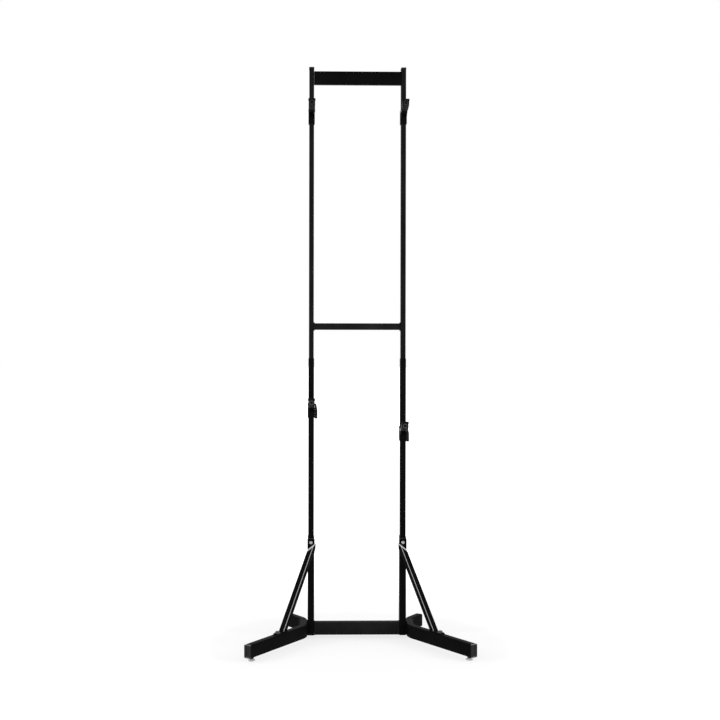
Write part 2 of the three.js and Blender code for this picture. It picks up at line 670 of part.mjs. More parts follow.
// Handle against the carriage's side, tapered towards its top, on a stud that ends just short of the tube.
function clampKnob(tubeHalf) {
  const face = tubeHalf + slideGap + carriage.wall + touchGap;
  const top = knob.length / 2;
  const outline = new THREE.Shape();
  outline.absarc(0, top - knob.thinRadius, knob.thinRadius, 0, Math.PI, false);
  outline.absarc(0, knob.thickRadius - top, knob.thickRadius, Math.PI, 2 * Math.PI, false);
  const slope = Math.atan2(knob.thickEnd - knob.thinEnd, knob.taper);
  const away = [-Math.cos(slope), 0, -Math.sin(slope)];
  const reach = away[0] * (face + knob.thinEnd) + away[2] * top;
  const handle = sidePlate(outline, knob.thickEnd, face + knob.thickEnd / 2).trimByPlane(away, reach);
  const studStart = tubeHalf + touchGap;
  const studLength = face - studStart + knob.thinEnd / 2;
  const stud = rod(knob.studRadius, studLength, 'x', new THREE.Vector3(studStart + studLength / 2, 0, 0));
  return handle.add(stud);
}

for (const [name, rest] of Object.entries(armRest)) {
  const arm = new THREE.Group();
  arm.position.set(rest.side * postX, 0, rest.tube.top - rest.drop);
  frame.add(arm);
  addPiece(`${name}_carriage`, carriageShape(rest.tube, rest.knobTurn), finish.powderBlack, arm);

  const tubeHalf = (rest.knobTurn === 0 ? rest.tube.width : rest.tube.depth) / 2;
  const knobPiece = addPiece(`${name}_clamp_knob`, clampKnob(tubeHalf), finish.endPlastic, arm);
  knobPiece.position.z = -knob.drop;
  knobPiece.rotation.z = rest.knobTurn;

  const hinge = new THREE.Group();
  const pivotY = -(rest.tube.depth / 2 + slideGap + carriage.wall + ear.forward);
  hinge.position.set(0, pivotY, ear.rise);
  arm.add(hinge);
  const acrossTurn = Math.PI / 2;
  addPiece(`${name}_pivot_bolt`, pivotBolt(), finish.zinc, hinge).rotation.y = acrossTurn;
  addPiece(`${name}_pivot_bush`, pivotBush(), finish.nylon, hinge).rotation.y = acrossTurn;

  const tilt = new THREE.Group();
  tilt.rotation.x = -rest.tilt;
  hinge.add(tilt);
  addPiece(`${name}_arm_bar`, armBarShape(), finish.powderBlack, tilt);
  addPiece(`${name}_cradle`, cradleShape(), finish.rubber, tilt).rotation.y = rest.roll;
}

export default rack;
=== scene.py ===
"""Looks of a free-standing two tier bike rack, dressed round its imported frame.

Metres, +Z up, the arms and the long legs towards -Y, +X to the right seen from the front.
"""

import json
import logging
import math
from collections.abc import Iterable, Sequence
from dataclasses import dataclass, field
from enum import Enum
from functools import cache, cached_property
from typing import Union

import bmesh
import bpy
from mathutils import Matrix, Vector


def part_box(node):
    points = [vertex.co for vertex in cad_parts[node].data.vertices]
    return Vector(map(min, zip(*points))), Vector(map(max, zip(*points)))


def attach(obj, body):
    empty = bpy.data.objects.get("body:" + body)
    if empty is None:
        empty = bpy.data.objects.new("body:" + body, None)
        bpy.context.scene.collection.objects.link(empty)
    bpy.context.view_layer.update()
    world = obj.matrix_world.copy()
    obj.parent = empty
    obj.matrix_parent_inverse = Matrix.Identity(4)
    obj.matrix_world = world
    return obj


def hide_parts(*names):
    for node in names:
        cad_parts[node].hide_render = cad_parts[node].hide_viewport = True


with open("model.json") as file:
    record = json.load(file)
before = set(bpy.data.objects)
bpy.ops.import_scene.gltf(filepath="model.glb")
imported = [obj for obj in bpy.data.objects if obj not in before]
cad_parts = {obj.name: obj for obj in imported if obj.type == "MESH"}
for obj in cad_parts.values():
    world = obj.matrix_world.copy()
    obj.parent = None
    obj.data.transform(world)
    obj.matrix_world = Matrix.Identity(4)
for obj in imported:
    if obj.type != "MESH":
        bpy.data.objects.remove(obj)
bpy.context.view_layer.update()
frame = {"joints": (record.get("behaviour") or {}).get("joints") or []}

log = logging.getLogger("bike_rack")

Ring = list[Vector]
Colour = tuple[float, float, float]
Operand = Union["Field", float, Sequence[float]]

X_AXIS = Vector((1, 0, 0))
Y_AXIS = Vector((0, 1, 0))
Z_AXIS = Vector((0, 0, 1))
FRAME_BODY = "frame"
PATCH_EDGES = (0.35, 0.7)
GAP = 0.0003


class Side(Enum):
    """The two sides of the rack, as signs along X."""

    LEFT = -1
    RIGHT = 1

    @property
    def word(self) -> str:
        """The side's name as the nodes spell it."""
        return self.name.lower()


class Slot(Enum):
    """The record's material slots."""

    POWDER = "powder_black"
    END_PLASTIC = "end_plastic"
    RUBBER = "rubber"
    ZINC = "zinc"
    BLACK_STEEL = "black_steel"
    NYLON = "nylon"
    FOOT_PLASTIC = "foot_plastic"


# Shader arithmetic


@dataclass(frozen=True, eq=False)
class Field:
    """One shader value, with the sums that a finish needs."""

    graph: "Graph"
    socket: bpy.types.NodeSocket | None

    def _math(self, operation: str, *operands: Operand) -> "Field":
        """A Math node over the operands."""
        return self.graph.add("ShaderNodeMath", {"operation": operation}, dict(enumerate(operands)))

    def __add__(self, other: Operand) -> "Field":
        """Sum of two values."""
        return self._math("ADD", self, other)

    __radd__ = __add__

    def __sub__(self, other: Operand) -> "Field":
        """This value less another."""
        return self._math("SUBTRACT", self, other)

    def __rsub__(self, other: Operand) -> "Field":
        """Another value less this one."""
        return self._math("SUBTRACT", other, self)

    def __mul__(self, other: Operand) -> "Field":
        """Product of two values."""
        return self._math("MULTIPLY", self, other)

    __rmul__ = __mul__

    def above(self, low: float, high: float) -> "Field":
        """This value spread from 0 at low to 1 at high, and held there."""
        limits = {"From Min": low, "From Max": high}
        return self.graph.add("ShaderNodeMapRange", {"clamp": True}, {"Value": self, **limits})


class Graph:
    """The nodes of one material or world."""

    def __init__(self, tree: bpy.types.NodeTree) -> None:
        """Starts from an emptied tree.

        Args:
            tree: the node tree to fill.
        """
        self.tree = tree
        tree.nodes.clear()

    def add(
        self,
        kind: str,
        settings: dict[str, object] | None = None,
        inputs: dict[str | int, Operand] | None = None,
        output: str | int = 0,
    ) -> Field:
        """Adds one node.

        Args:
            kind: the node's type.
            settings: what is set on the node first, such as its operation.
            inputs: a value or a link for each socket, by name or place.
            output: the output that is returned.

        Returns:
            The chosen output.
        """
        node = self.tree.nodes.new(kind)
        for key, value in (settings or {}).items():
            setattr(node, key, value)
        for key, value in (inputs or {}).items():
            if isinstance(value, Field):
                self.tree.links.new(value.socket, node.inputs[key])
            else:
                node.inputs[key].default_value = value
        return Field(self, node.outputs[output] if node.outputs else None)

    @cached_property
    def place(self) -> Field:
        """Where a point lies on its piece, in metres at rest."""
        return self.add("ShaderNodeTexCoord", output="Object")

    @cached_property
    def normal(self) -> Field:
        """The way that the surface faces."""
        return self.add("ShaderNodeNewGeometry", output="Normal")

    def reach(self, vector: Field, way: Colour) -> Field:
        """How far a vector reaches along a way."""
        return self.add("ShaderNodeVectorMath", {"operation": "DOT_PRODUCT"}, {0: vector, 1: way}, "Value")

    def facing(self, way: Colour, low: float, high: float) -> Field:
        """How nearly the surface faces a way, from 0 at one cosine to 1 at another.

        Args:
            way: the direction, of length 1.
            low: the cosine that gives 0.
            high: the cosine that gives 1.

        Returns:
            A value from 0 to 1.
        """
        return self.reach(self.normal, way).above(low, high)

    def worn(self, colour: Operand, wear: "Wear", grain: Field) -> Operand:
        """A colour painted paler where the surface faces given ways and on bands: painted highlights.

        Args:
            colour: the colour elsewhere.
            wear: the painted highlights, their ways and how pale each is painted.
            grain: a noise that leaves the painted highlights uneven.

        Returns:
            The colour with its paler places.
        """
        # Painted highlights: paler colour where the surface faces each way, then on each band.
        uneven = 0.75 + 0.25 * grain
        for way, pale in wear.ways:
            colour = self.blend(self.facing(way, *wear.cosines) * uneven, colour, pale)
        for band in wear.bands:
            colour = self.blend(self.within(band) * uneven, colour, band.colour)
        return colour

    def within(self, band: "Band") -> Field:
        """Where a band of painted highlight lies.

        Args:
            band: the plane that it ends at, with its breadth.

        Returns:
            1 on the band and 0 off it.
        """
        along = self.reach(self.place, band.way)
        start, end = band.distance - band.breadth, band.distance
        begun = along.above(start, start + band.fade_in * band.breadth)
        ended = along.above(end, end + band.fade_out * band.breadth)
        return begun * (1 - ended)

    def noise(self, grain: float, detail: float = 3, stretch: Sequence[float] = (1, 1, 1)) -> Field:
        """Noise of a real size.

        Args:
            grain: the size of its blotches, in metres.
            detail: how many finer layers it has.
            stretch: how much longer than the grain it is along X, Y and Z.

        Returns:
            A value about 0.5.
        """
        scales = tuple(1 / (grain * share) for share in stretch)
        at = self.add("ShaderNodeVectorMath", {"operation": "MULTIPLY"}, {0: self.place, 1: scales})
        return self.add("ShaderNodeTexNoise", None, {"Vector": at, "Scale": 1.0, "Detail": detail})

    def blend(self, share: Operand, first: Operand, second: Operand) -> Field:
        """Mixes two colours.

        Args:
            share: how much of the second shows.
            first: the colour at 0.
            second: the colour at 1.

        Returns:
            The mixed colour.
        """
        rgb = [value if isinstance(value, Field) else (*value, 1) for value in (first, second)]
        settings = {"data_type": "RGBA"}
        return self.add("ShaderNodeMix", settings, {0: share, 6: rgb[0], 7: rgb[1]}, output=2)

    def bump(self, height: Field, depth: float, under: Field | None = None) -> Field:
        """Raises the surface by a height.

        Args:
            height: a value from 0 to 1.
            depth: how high 1 stands, in metres.
            under: the normal below, where bumps are stacked.

        Returns:
            The bumped normal.
        """
        inputs = {"Height": height, "Distance": depth, "Strength": 1.0}
        if under is not None:
            inputs["Normal"] = under
        return self.add("ShaderNodeBump", None, inputs)

    def surface(self, sockets: dict[str, Operand]) -> None:
        """Ends a material in one shader.

        Args:
            sockets: the shader's values and links by name.
        """
        shader = self.add("ShaderNodeBsdfPrincipled", None, sockets)
        self.add("ShaderNodeOutputMaterial", None, {"Surface": shader})


# Finishes


@dataclass(frozen=True)
class Band:
    """A band of painted highlight that ends at a plane: the plane's way and distance, and the band's breadth
    and colour.

    The fades are the shares of its breadth over which its two edges come and go.
    """

    way: Colour
    distance: float
    breadth: float
    colour: Colour
    fade_in: float = 0.3
    fade_out: float = 0.1


@dataclass(frozen=True)
class Wear:
    """Places painted pale as highlights: each way that they face with their colour, how far round they reach,
    and bands.
    """

    ways: tuple[tuple[Colour, Colour], ...] = ()
    cosines: tuple[float, float] = (0.90, 0.97)
    bands: tuple[Band, ...] = ()


@dataclass(frozen=True)
class Finish:
    """What every finish has: a name and the slot that it dresses."""

    name: str
    slot: Slot

    def paint(self, graph: Graph) -> None:
        """Fills the material's nodes.

        Args:
            graph: the material's nodes.
        """
        raise NotImplementedError

    @cache
    def material(self) -> bpy.types.Material:
        """The finish as a material, made once.

        Returns:
            The material.
        """
        made = bpy.data.materials.new(self.name)
        made.use_nodes = True
        self.paint(Graph(made.node_tree))
        return made


@dataclass(frozen=True)
class PowderCoat(Finish):
    """Baked powder: near black, with orange peel, a little dust, rubbed stretches and painted highlights
    where given, such as along folds.
    """

    colour: Colour = (0.0022, 0.0022, 0.0024)
    faded: Colour = (0.0040, 0.0040, 0.0043)
    dust: Colour = (0.020, 0.020, 0.0195)
    dust_share: float = 0.05
    rub: Colour = (0.020, 0.020, 0.021)
    rub_share: float = 0.0
    # Painted highlights: pale colour where the surface faces given ways, none unless given.
    wear: Wear = Wear()
    gloss_level: float = 0.012
    roughness: float = 0.46
    dust_cosines: tuple[float, float] = (0.6, 1.0)
    dust_roughness: float = 0.3
    cloud_size: float = 0.09
    cloud_roughness: float = 0.10
    speck_size: float = 0.006
    peel_size: float = 0.0016
    peel_depth: float = 0.000045
    coarse_peel_size: float = 0.0042
    coarse_peel_depth: float = 0.00008
    streak_width: float = 0.0022
    streak_stretch: tuple[float, float, float] = (1, 1, 60)
    streak_edges: tuple[float, float] = (0.62, 0.74)
    rub_size: float = 0.12
    rub_edges: tuple[float, float] = (0.42, 0.6)
    rub_roughness: float = 0.16

    def paint(self, graph: Graph) -> None:
        """Fills the material's nodes.

        Args:
            graph: the material's nodes.
        """
        cloud = graph.noise(self.cloud_size, 4)
        fine = graph.noise(self.speck_size, 2)
        peel = graph.noise(self.peel_size, 2)
        coarse_peel = graph.noise(self.coarse_peel_size, 1)
        coat = graph.blend(cloud.above(*PATCH_EDGES), self.colour, self.faded)
        settled = graph.facing((0, 0, 1), *self.dust_cosines) * (0.4 + 0.6 * fine) * self.dust_share
        coat = graph.blend(settled, coat, self.dust)
        streak = graph.noise(self.streak_width, 3, self.streak_stretch).above(*self.streak_edges)
        rubbed = streak * graph.noise(self.rub_size, 2).above(*self.rub_edges) * self.rub_share
        coat = graph.blend(rubbed, coat, self.rub)
        # Painted highlights where given.
        coat = graph.worn(coat, self.wear, fine)
        roughness = self.roughness + self.cloud_roughness * (cloud - 0.5)
        roughness = roughness + self.rub_roughness * rubbed + self.dust_roughness * settled
        skin = graph.bump(coarse_peel, self.coarse_peel_depth)
        skin = graph.bump(peel, self.peel_depth, skin)
        graph.surface({
            "Base Color": coat,
            "Roughness": roughness,
            "Specular IOR Level": self.gloss_level,
            "Normal": skin,
        })


@dataclass(frozen=True)
class MouldedPlastic(Finish):
    """Injection moulded plastic with a spark-eroded grain."""

    colour: Colour = (0.0075, 0.0077, 0.0083)
    pale: Colour = (0.0115, 0.0118, 0.0128)
    gloss_level: float = 0.12
    roughness: float = 0.46
    # Painted highlights: pale colour where the surface faces given ways, none unless given.
    wear: Wear = Wear()
    flow_size: float = 0.018
    flow_roughness: float = 0.08
    grain: float = 0.0007
    grain_depth: float = 0.00003
    grain_roughness: float = 0.12

    def paint(self, graph: Graph) -> None:
        """Fills the material's nodes.

        Args:
            graph: the material's nodes.
        """
        flow = graph.noise(self.flow_size, 3)
        pits = graph.noise(self.grain, 2)
        colour = graph.blend(flow.above(*PATCH_EDGES), self.colour, self.pale)
        roughness = self.roughness + self.grain_roughness * (pits - 0.5)
        # The colour gets painted highlights where given.
        graph.surface({
            "Base Color": graph.worn(colour, self.wear, pits),
            "Roughness": roughness + self.flow_roughness * (flow - 0.5),
            "Specular IOR Level": self.gloss_level,
            "Normal": graph.bump(pits, self.grain_depth),
        })


@dataclass(frozen=True)
class MouldedRubber(Finish):
    """Soft black rubber, dull, with a bloom on it where it's handled."""

    colour: Colour = (0.0035, 0.0035, 0.0037)
    bloom: Colour = (0.0085, 0.0085, 0.0085)
    gloss_level: float = 0.045
    roughness: float = 0.62
    patch_size: float = 0.022
    patch_share: float = 0.6
    patch_edges: tuple[float, float] = (0.5, 0.8)
    patch_roughness: float = 0.2
    stipple_size: float = 0.0009
    stipple_depth: float = 0.00005

    def paint(self, graph: Graph) -> None:
        """Fills the material's nodes.

        Args:
            graph: the material's nodes.
        """
        patches = graph.noise(self.patch_size, 4)
        stipple = graph.noise(self.stipple_size, 2)
        bloomed = patches.above(*self.patch_edges) * self.patch_share
        graph.surface({
            "Base Color": graph.blend(bloomed, self.colour, self.bloom),
            "Roughness": self.roughness + self.patch_roughness * (patches - 0.5),
            "Specular IOR Level": self.gloss_level,
            "Normal": graph.bump(stipple, self.stipple_depth),
        })


@dataclass(frozen=True)
class PlatedSteel(Finish):
    """Plated or blackened steel, with the lines of its turning."""

    colour: Colour = (0.35, 0.36, 0.38)
    tint: Colour = (0.26, 0.27, 0.29)
    roughness: float = 0.30
    stain_size: float = 0.004
    stain_roughness: float = 0.10
    scratch_size: float = 0.0006
    scratch_stretch: tuple[float, float, float] = (6, 1, 1)
    scratch_depth: float = 0.00001
    scratch_roughness: float = 0.14

    def paint(self, graph: Graph) -> None:
        """Fills the material's nodes.

        Args:
            graph: the material's nodes.
        """
        stain = graph.noise(self.stain_size, 3)
        scratch = graph.noise(self.scratch_size, 2, self.scratch_stretch)
        roughness = self.roughness + self.scratch_roughness * (scratch - 0.5)
        graph.surface({
            "Base Color": graph.blend(stain.above(*PATCH_EDGES), self.colour, self.tint),
            "Metallic": 1.0,
            "Roughness": roughness + self.stain_roughness * (stain - 0.5),
            "Normal": graph.bump(scratch, self.scratch_depth),
        })


COAT = PowderCoat("satin_black_powder", Slot.POWDER)
BAR_COAT = PowderCoat("bar_black_powder", Slot.POWDER, (0.0082, 0.0082, 0.0085), (0.0135, 0.0135, 0.0140))
RUBBED_COAT = PowderCoat(
    "rubbed_black_powder", Slot.POWDER, (0.0056, 0.0056, 0.0059), (0.0095, 0.0095, 0.0100), rub_share=0.5
)
# Paler coat on the bars' weld beads: real beads, their pale tone a painted highlight along the joints with
# the uprights.
WELD_HIGHLIGHT_COAT = PowderCoat("weld_black_powder", Slot.POWDER, (0.012, 0.012, 0.0125), (0.018, 0.018, 0.0185))
END_PLASTIC = MouldedPlastic("dark_grey_plug_plastic", Slot.END_PLASTIC)
# End cap plastic with painted highlights: paler on the faces that turn up, and painted reflection on those
# that turn down.
CAP_PLASTIC = MouldedPlastic(
    "rubbed_cap_plastic",
    Slot.END_PLASTIC,
    wear=Wear((((0, 0, 1), (0.5, 0.5, 0.5)), ((0, 0, -1), (0.35, 0.35, 0.35))), cosines=(0.45, 0.65)),
)
# One plug plastic in two copies: painted shade on the upper arms' plugs, seen from below, and painted light
# on the lower arms' plugs, which face up.
SHADED_PAD_PLASTIC = MouldedPlastic(
    "dark_pad_plug_plastic", Slot.END_PLASTIC, (0.020, 0.020, 0.021), (0.032, 0.032, 0.033)
)
LIT_PAD_PLASTIC = MouldedPlastic(
    "grey_pad_plug_plastic", Slot.END_PLASTIC, (0.060, 0.060, 0.062), (0.085, 0.085, 0.088)
)
FOOT_PLASTIC = MouldedPlastic(
    "pale_foot_plastic",
    Slot.FOOT_PLASTIC,
    (0.50, 0.51, 0.52),
    (0.58, 0.59, 0.60),
    gloss_level=0.4,
    roughness=0.42,
)
NYLON = MouldedPlastic(
    "black_nylon", Slot.NYLON, (0.006, 0.006, 0.0064), (0.010, 0.010, 0.0105), roughness=0.4
)
RUBBER = MouldedRubber("black_cradle_rubber", Slot.RUBBER)
ZINC = PlatedSteel("bright_zinc", Slot.ZINC)
DULL_ZINC = PlatedSteel(
    "dull_zinc", Slot.ZINC, (0.11, 0.11, 0.115), (0.08, 0.08, 0.085), roughness=0.45
)
BLACK_STEEL = PlatedSteel(
    "blackened_steel", Slot.BLACK_STEEL, (0.055, 0.055, 0.06), (0.035, 0.035, 0.038), roughness=0.42
)


# Outlines and meshes


def rounded_rectangle(
    width: float, depth: float, radius: float, steps: int = 4, splits: int = 1
) -> Ring:
    """Outline in XY with four round corners, counter-clockwise.

    Args:
        width: size along X.
        depth: size along Y.
        radius: the corners' radius.
        steps: facets in a corner.
        splits: stretches in a straight side.

    Returns:
        The points.
    """
    corners = []
    for corner, (right, back) in enumerate(((1, 1), (-1, 1), (-1, -1), (1, -1))):
        centre = Vector((right * (width / 2 - radius), back * (depth / 2 - radius), 0))
        corners.append(arc(centre, radius, 90 * corner, 90 * (corner + 1), steps))
    points = []
    for corner, following in zip(corners, corners[1:] + corners[:1]):
        points += corner
        points += [corner[-1].lerp(following[0], split / splits) for split in range(1, splits)]
    return points


def circle(radius: float, sides: int) -> Ring:
    """Circle in XY about the origin."""
    turns = (2 * math.pi * side / sides for side in range(sides))
    return [Vector((radius * math.cos(turn), radius * math.sin(turn), 0)) for turn in turns]


def hexagon(across_flats: float, sides: int, limit: float = math.inf) -> Ring:
    """Hexagon in XY, sampled at even turns.

    Args:
        across_flats: its width.
        sides: how many points, a multiple of 12.
        limit: a radius that its corners are turned down to.

    Returns:
        The points.
    """
    flat = math.radians(60)
    points = []
    for side in range(sides):
        turn = 2 * math.pi * side / sides
        reach = across_flats / 2 / math.cos(turn % flat - flat / 2)
        points.append(min(reach, limit) * Vector((math.cos(turn), math.sin(turn), 0)))
    return points


def raised(ring: Ring, height: float) -> Ring:
    """A flat ring moved up along Z."""
    return [point + Vector((0, 0, height)) for point in ring]


def placed(ring: Ring, station: Matrix) -> Ring:
    """A flat ring carried to a station."""
    return [station @ point for point in ring]


def station(place: Vector, across: Vector, up: Vector) -> Matrix:
    """A place and the way it faces.

    Args:
        place: where it is.
        across: the local X axis.
        up: the local Y axis.

    Returns:
        The matrix, its Z axis square to both.
    """
    x = across.normalized()
    z = x.cross(up).normalized()
    y = z.cross(x)
    matrix = Matrix((x, y, z)).transposed().to_4x4()
    matrix.translation = place
    return matrix


def loft(rings: Sequence[Ring], looped: bool = False) -> bmesh.types.BMesh:
    """Closed surface through rings that have as many points each.

    Args:
        rings: the rings in order.
        looped: joins the last to the first, as in a hollow tube, where it isn't capped.

    Returns:
        The surface, facing out.
    """
    shape = bmesh.new()
    rows = [[shape.verts.new(point) for point in ring] for ring in rings]
    pairs = list(zip(rows, rows[1:]))
    if looped:
        pairs.append((rows[-1], rows[0]))
    for low, high in pairs:
        for here in range(len(low)):
            following = (here + 1) % len(low)
            shape.faces.new((low[here], low[following], high[following], high[here]))
    if not looped:
        shape.faces.new(rows[0][::-1])
        shape.faces.new(rows[-1])
    bmesh.ops.recalc_face_normals(shape, faces=shape.faces)
    return shape


def soften(shape: bmesh.types.BMesh, width: float, segments: int = 2, over: float = 30) -> None:
    """Rounds the sharp edges of a surface.

    Args:
        shape: the surface to change.
        width: how wide the rounding is.
        segments: facets in it.
        over: the angle in degrees past which an edge is sharp.
    """
    sharp = [edge for edge in shape.edges if edge.calc_face_angle(0) > math.radians(over)]
    bmesh.ops.bevel(
        shape, geom=sharp, offset=width, offset_type="OFFSET", segments=segments, profile=0.5,
        affect="EDGES", clamp_overlap=True,
    )
    bmesh.ops.recalc_face_normals(shape, faces=shape.faces)


def trim(shape: bmesh.types.BMesh, place: Vector, away: Vector) -> None:
    """Cuts off what lies past a plane and closes the cut.

    Args:
        shape: the surface to cut.
        place: a point on the plane.
        away: the side that goes.
    """
    everything = [*shape.verts, *shape.edges, *shape.faces]
    bmesh.ops.bisect_plane(shape, geom=everything, plane_co=place, plane_no=away, clear_outer=True)
    rim = [edge for edge in shape.edges if edge.is_boundary]
    bmesh.ops.holes_fill(shape, edges=rim, sides=0)
    bmesh.ops.recalc_face_normals(shape, faces=shape.faces)


def plate(outline: Ring, thickness: float, edge: float, segments: int = 2) -> bmesh.types.BMesh:
    """Flat outline in XY made thick about its own plane, with rounded edges.

    Args:
        outline: the points in order.
        thickness: size along Z.
        edge: the rounding of its edges.
        segments: facets in the rounding.

    Returns:
        The surface.
    """
    shape = loft([raised(outline, -thickness / 2), raised(outline, thickness / 2)])
    soften(shape, edge, segments)
    return shape


def slab(size: Vector, centre: Vector, edge: float) -> bmesh.types.BMesh:
    """Block with rounded edges.

    Args:
        size: its three sizes.
        centre: its middle.
        edge: the rounding.

    Returns:
        The surface.
    """
    corners = [Vector((x * size.x / 2, y * size.y / 2, 0)) for x, y in ((1, 1), (-1, 1), (-1, -1), (1, -1))]
    shape = plate(corners, size.z, edge)
    shape.transform(Matrix.Translation(centre))
    return shape


def turned(profile: Iterable[tuple[float, float]], sides: int = 32) -> list[Ring]:
    """Rings of a turned piece about Z.

    Args:
        profile: radius and height of each ring, none on the axis.
        sides: facets round it.

    Returns:
        The rings.
    """
    return [raised(circle(radius, sides), height) for radius, height in profile]


def arc(centre: Vector, radius: float, start: float, end: float, steps: int) -> Ring:
    """Points on an arc in XY, both ends included.

    Args:
        centre: its middle.
        radius: its radius.
        start: first angle in degrees.
        end: last angle in degrees.
        steps: facets along it.

    Returns:
        The points.
    """
    turns = (math.radians(start + (end - start) * step / steps) for step in range(steps + 1))
    return [centre + radius * Vector((math.cos(turn), math.sin(turn), 0)) for turn in turns]


def bow(start: Vector, control: Vector, end: Vector, steps: int) -> Ring:
    """Points on a curve drawn towards a control point, without its two ends.

    Args:
        start: where the curve starts.
        control: the point that draws it.
        end: where it ends.
        steps: facets along it.

    Returns:
        The points between the ends.
    """
    shares = (step / steps for step in range(1, steps))
    return [
        (1 - share) ** 2 * start + 2 * share * (1 - share) * control + share**2 * end
        for share in shares
    ]


def hollow_tube(
    outer: Ring, inner: Ring, stations: Sequence[Matrix], lip: float = 0.0003
) -> bmesh.types.BMesh:
    """Open-ended tube along stations, the edges of its mouths rounded off.

    Args:
        outer: section of its outside.
        inner: section of its bore, with as many points.
        stations: where the section goes, at least two.
        lip: the rounding at its mouths.

    Returns:
        The surface.
    """
    def drawn(ring: Ring, towards: Ring) -> Ring:
        """A ring moved by the lip towards another."""
        return [a + (b - a).normalized() * lip for a, b in zip(ring, towards)]

    first, last = stations[0], stations[-1]
    inset_first = first @ Matrix.Translation((0, 0, lip))
    inset_last = last @ Matrix.Translation((0, 0, -lip))
    middle = list(stations[1:-1])
    way = [inset_first, *middle, inset_last]
    rings = [placed(drawn(outer, inner), first)]
    rings += [placed(outer, at) for at in way]
    rings += [placed(drawn(outer, inner), last), placed(drawn(inner, outer), last)]
    rings += [placed(inner, at) for at in reversed(way)]
    rings += [placed(drawn(inner, outer), first)]
    return loft(rings, looped=True)


def merged(*shapes: bmesh.types.BMesh) -> bmesh.types.BMesh:
    """Several surfaces as one mesh.

    Args:
        shapes: the surfaces, which are used up.

    Returns:
        One mesh that holds them all.
    """
    whole = shapes[0]
    for shape in shapes[1:]:
        carrier = bpy.data.meshes.new("carrier")
        shape.to_mesh(carrier)
        shape.free()
        whole.from_mesh(carrier)
        bpy.data.meshes.remove(carrier)
    return whole


def combined(operation: str, shapes: Sequence[bmesh.types.BMesh]) -> bmesh.types.BMesh:
    """Several overlapping surfaces made into one skin.

    Args:
        operation: how they meet, as the modifier calls it.
        shapes: the surfaces, which are used up.

    Returns:
        The one surface.
    """
    parts = []
    for shape in shapes:
        mesh = bpy.data.meshes.new("part")
        shape.to_mesh(mesh)
        shape.free()
        parts.append(bpy.data.objects.new("part", mesh))
        bpy.context.scene.collection.objects.link(parts[-1])
    base = parts[0]
    for part in parts[1:]:
        join = base.modifiers.new("join", "BOOLEAN")
        join.operation = operation
        join.solver = "EXACT"
        join.object = part
    bpy.context.view_layer.update()
    graph = bpy.context.evaluated_depsgraph_get()
    whole = bmesh.new()
    whole.from_object(base, graph)
    for part in parts:
        mesh = part.data
        bpy.data.objects.remove(part)
        bpy.data.meshes.remove(mesh)
    return whole


def united(*shapes: bmesh.types.BMesh) -> bmesh.types.BMesh:
    """Overlapping surfaces joined into one."""
    return combined("UNION", shapes)


def carved(shape: bmesh.types.BMesh, cutter: bmesh.types.BMesh) -> bmesh.types.BMesh:
    """A surface with another cut out of it."""
    return combined("DIFFERENCE", (shape, cutter))


def weld_bead(path: Sequence[Vector], radius: float, pitch: float = 0.0024) -> bmesh.types.BMesh:
    """Run of weld with the ripples of its puddle.

    Args:
        path: the corners it follows.
        radius: its half width.
        pitch: the spacing of the ripples.

    Returns:
        The surface.
    """
    sides, waves = 8, 4
    swell, taper_start, taper_step = 0.14, 0.45, 0.3
    off_axis = Vector((0.31, 0.52, 0.79))
    points: list[tuple[Vector, Vector]] = []
    for start, end in zip(path, path[1:]):
        run = end - start
        count = max(2, round(run.length / (pitch / waves)))
        for step in range(count + (end is path[-1])):
            points.append((start + run * step / count, run.normalized()))
    rings = []
    for index, (point, along) in enumerate(points):
        ripple = 1 + swell * math.sin(2 * math.pi * index / waves)
        fade = min(1.0, taper_start + min(index, len(points) - 1 - index) * taper_step)
        aside = along.cross(off_axis).normalized()
        at = station(point, aside, along.cross(aside))
        rings.append(placed(circle(radius * ripple * fade, sides), at))
    return loft(rings)


def fit(
    name: str,
    shape: bmesh.types.BMesh,
    finish: Finish,
    body: str = FRAME_BODY,
    stands_for: Sequence[str] = (),
    crease: float = 32,
) -> bpy.types.Object:
    """Turns a surface into a dressed piece that rides on a body.

    Args:
        name: the piece's name.
        shape: its surface in the frame's own places, which is used up.
        finish: what it's dressed in.
        body: the body that carries it.
        stands_for: the nodes that it takes the place of.
        crease: the angle in degrees past which its shading breaks.

    Returns:
        The piece.
    """
    mesh = bpy.data.meshes.new(name)
    shape.to_mesh(mesh)
    shape.free()
    mesh.polygons.foreach_set("use_smooth", [True] * len(mesh.polygons))
    mesh.set_sharp_from_angle(angle=math.radians(crease))
    mesh.materials.append(finish.material())
    piece = bpy.data.objects.new(name, mesh)
    bpy.context.scene.collection.objects.link(piece)
    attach(piece, body)
    if stands_for:
        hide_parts(*stands_for)
    log.info("%s: %d faces, %s, on %s", name, len(mesh.polygons), finish.name, body)
    return piece


def mirrored(shape: bmesh.types.BMesh, side: Side) -> bmesh.types.BMesh:
    """A surface drawn for the right side, turned over for the left.

    Args:
        shape: the surface, which is changed.
        side: the side that it is for.

    Returns:
        The surface on its side.
    """
    if side is Side.LEFT:
        bmesh.ops.scale(shape, vec=(-1, 1, 1), verts=shape.verts)
        bmesh.ops.reverse_faces(shape, faces=shape.faces)
    return shape


# Common pieces


@dataclass(frozen=True)
class Tube:
    """Rectangular steel tube with rolled corners."""

    width: float
    depth: float
    wall: float
    corner: float

    def outer(self, splits: int = 1) -> Ring:
        """Section of the outside."""
        return rounded_rectangle(self.width, self.depth, self.corner, splits=splits)

    def inner(self, splits: int = 1) -> Ring:
        """Section of the bore.

        Args:
            splits: stretches in a straight side.

        Returns:
            The points.
        """
        inside = self.corner - self.wall
        return rounded_rectangle(
            self.width - 2 * self.wall, self.depth - 2 * self.wall, inside, splits=splits
        )

    def drawn(self, stations: Sequence[Matrix], splits: int = 1) -> bmesh.types.BMesh:
        """The tube along stations."""
        return hollow_tube(self.outer(splits), self.inner(splits), stations)


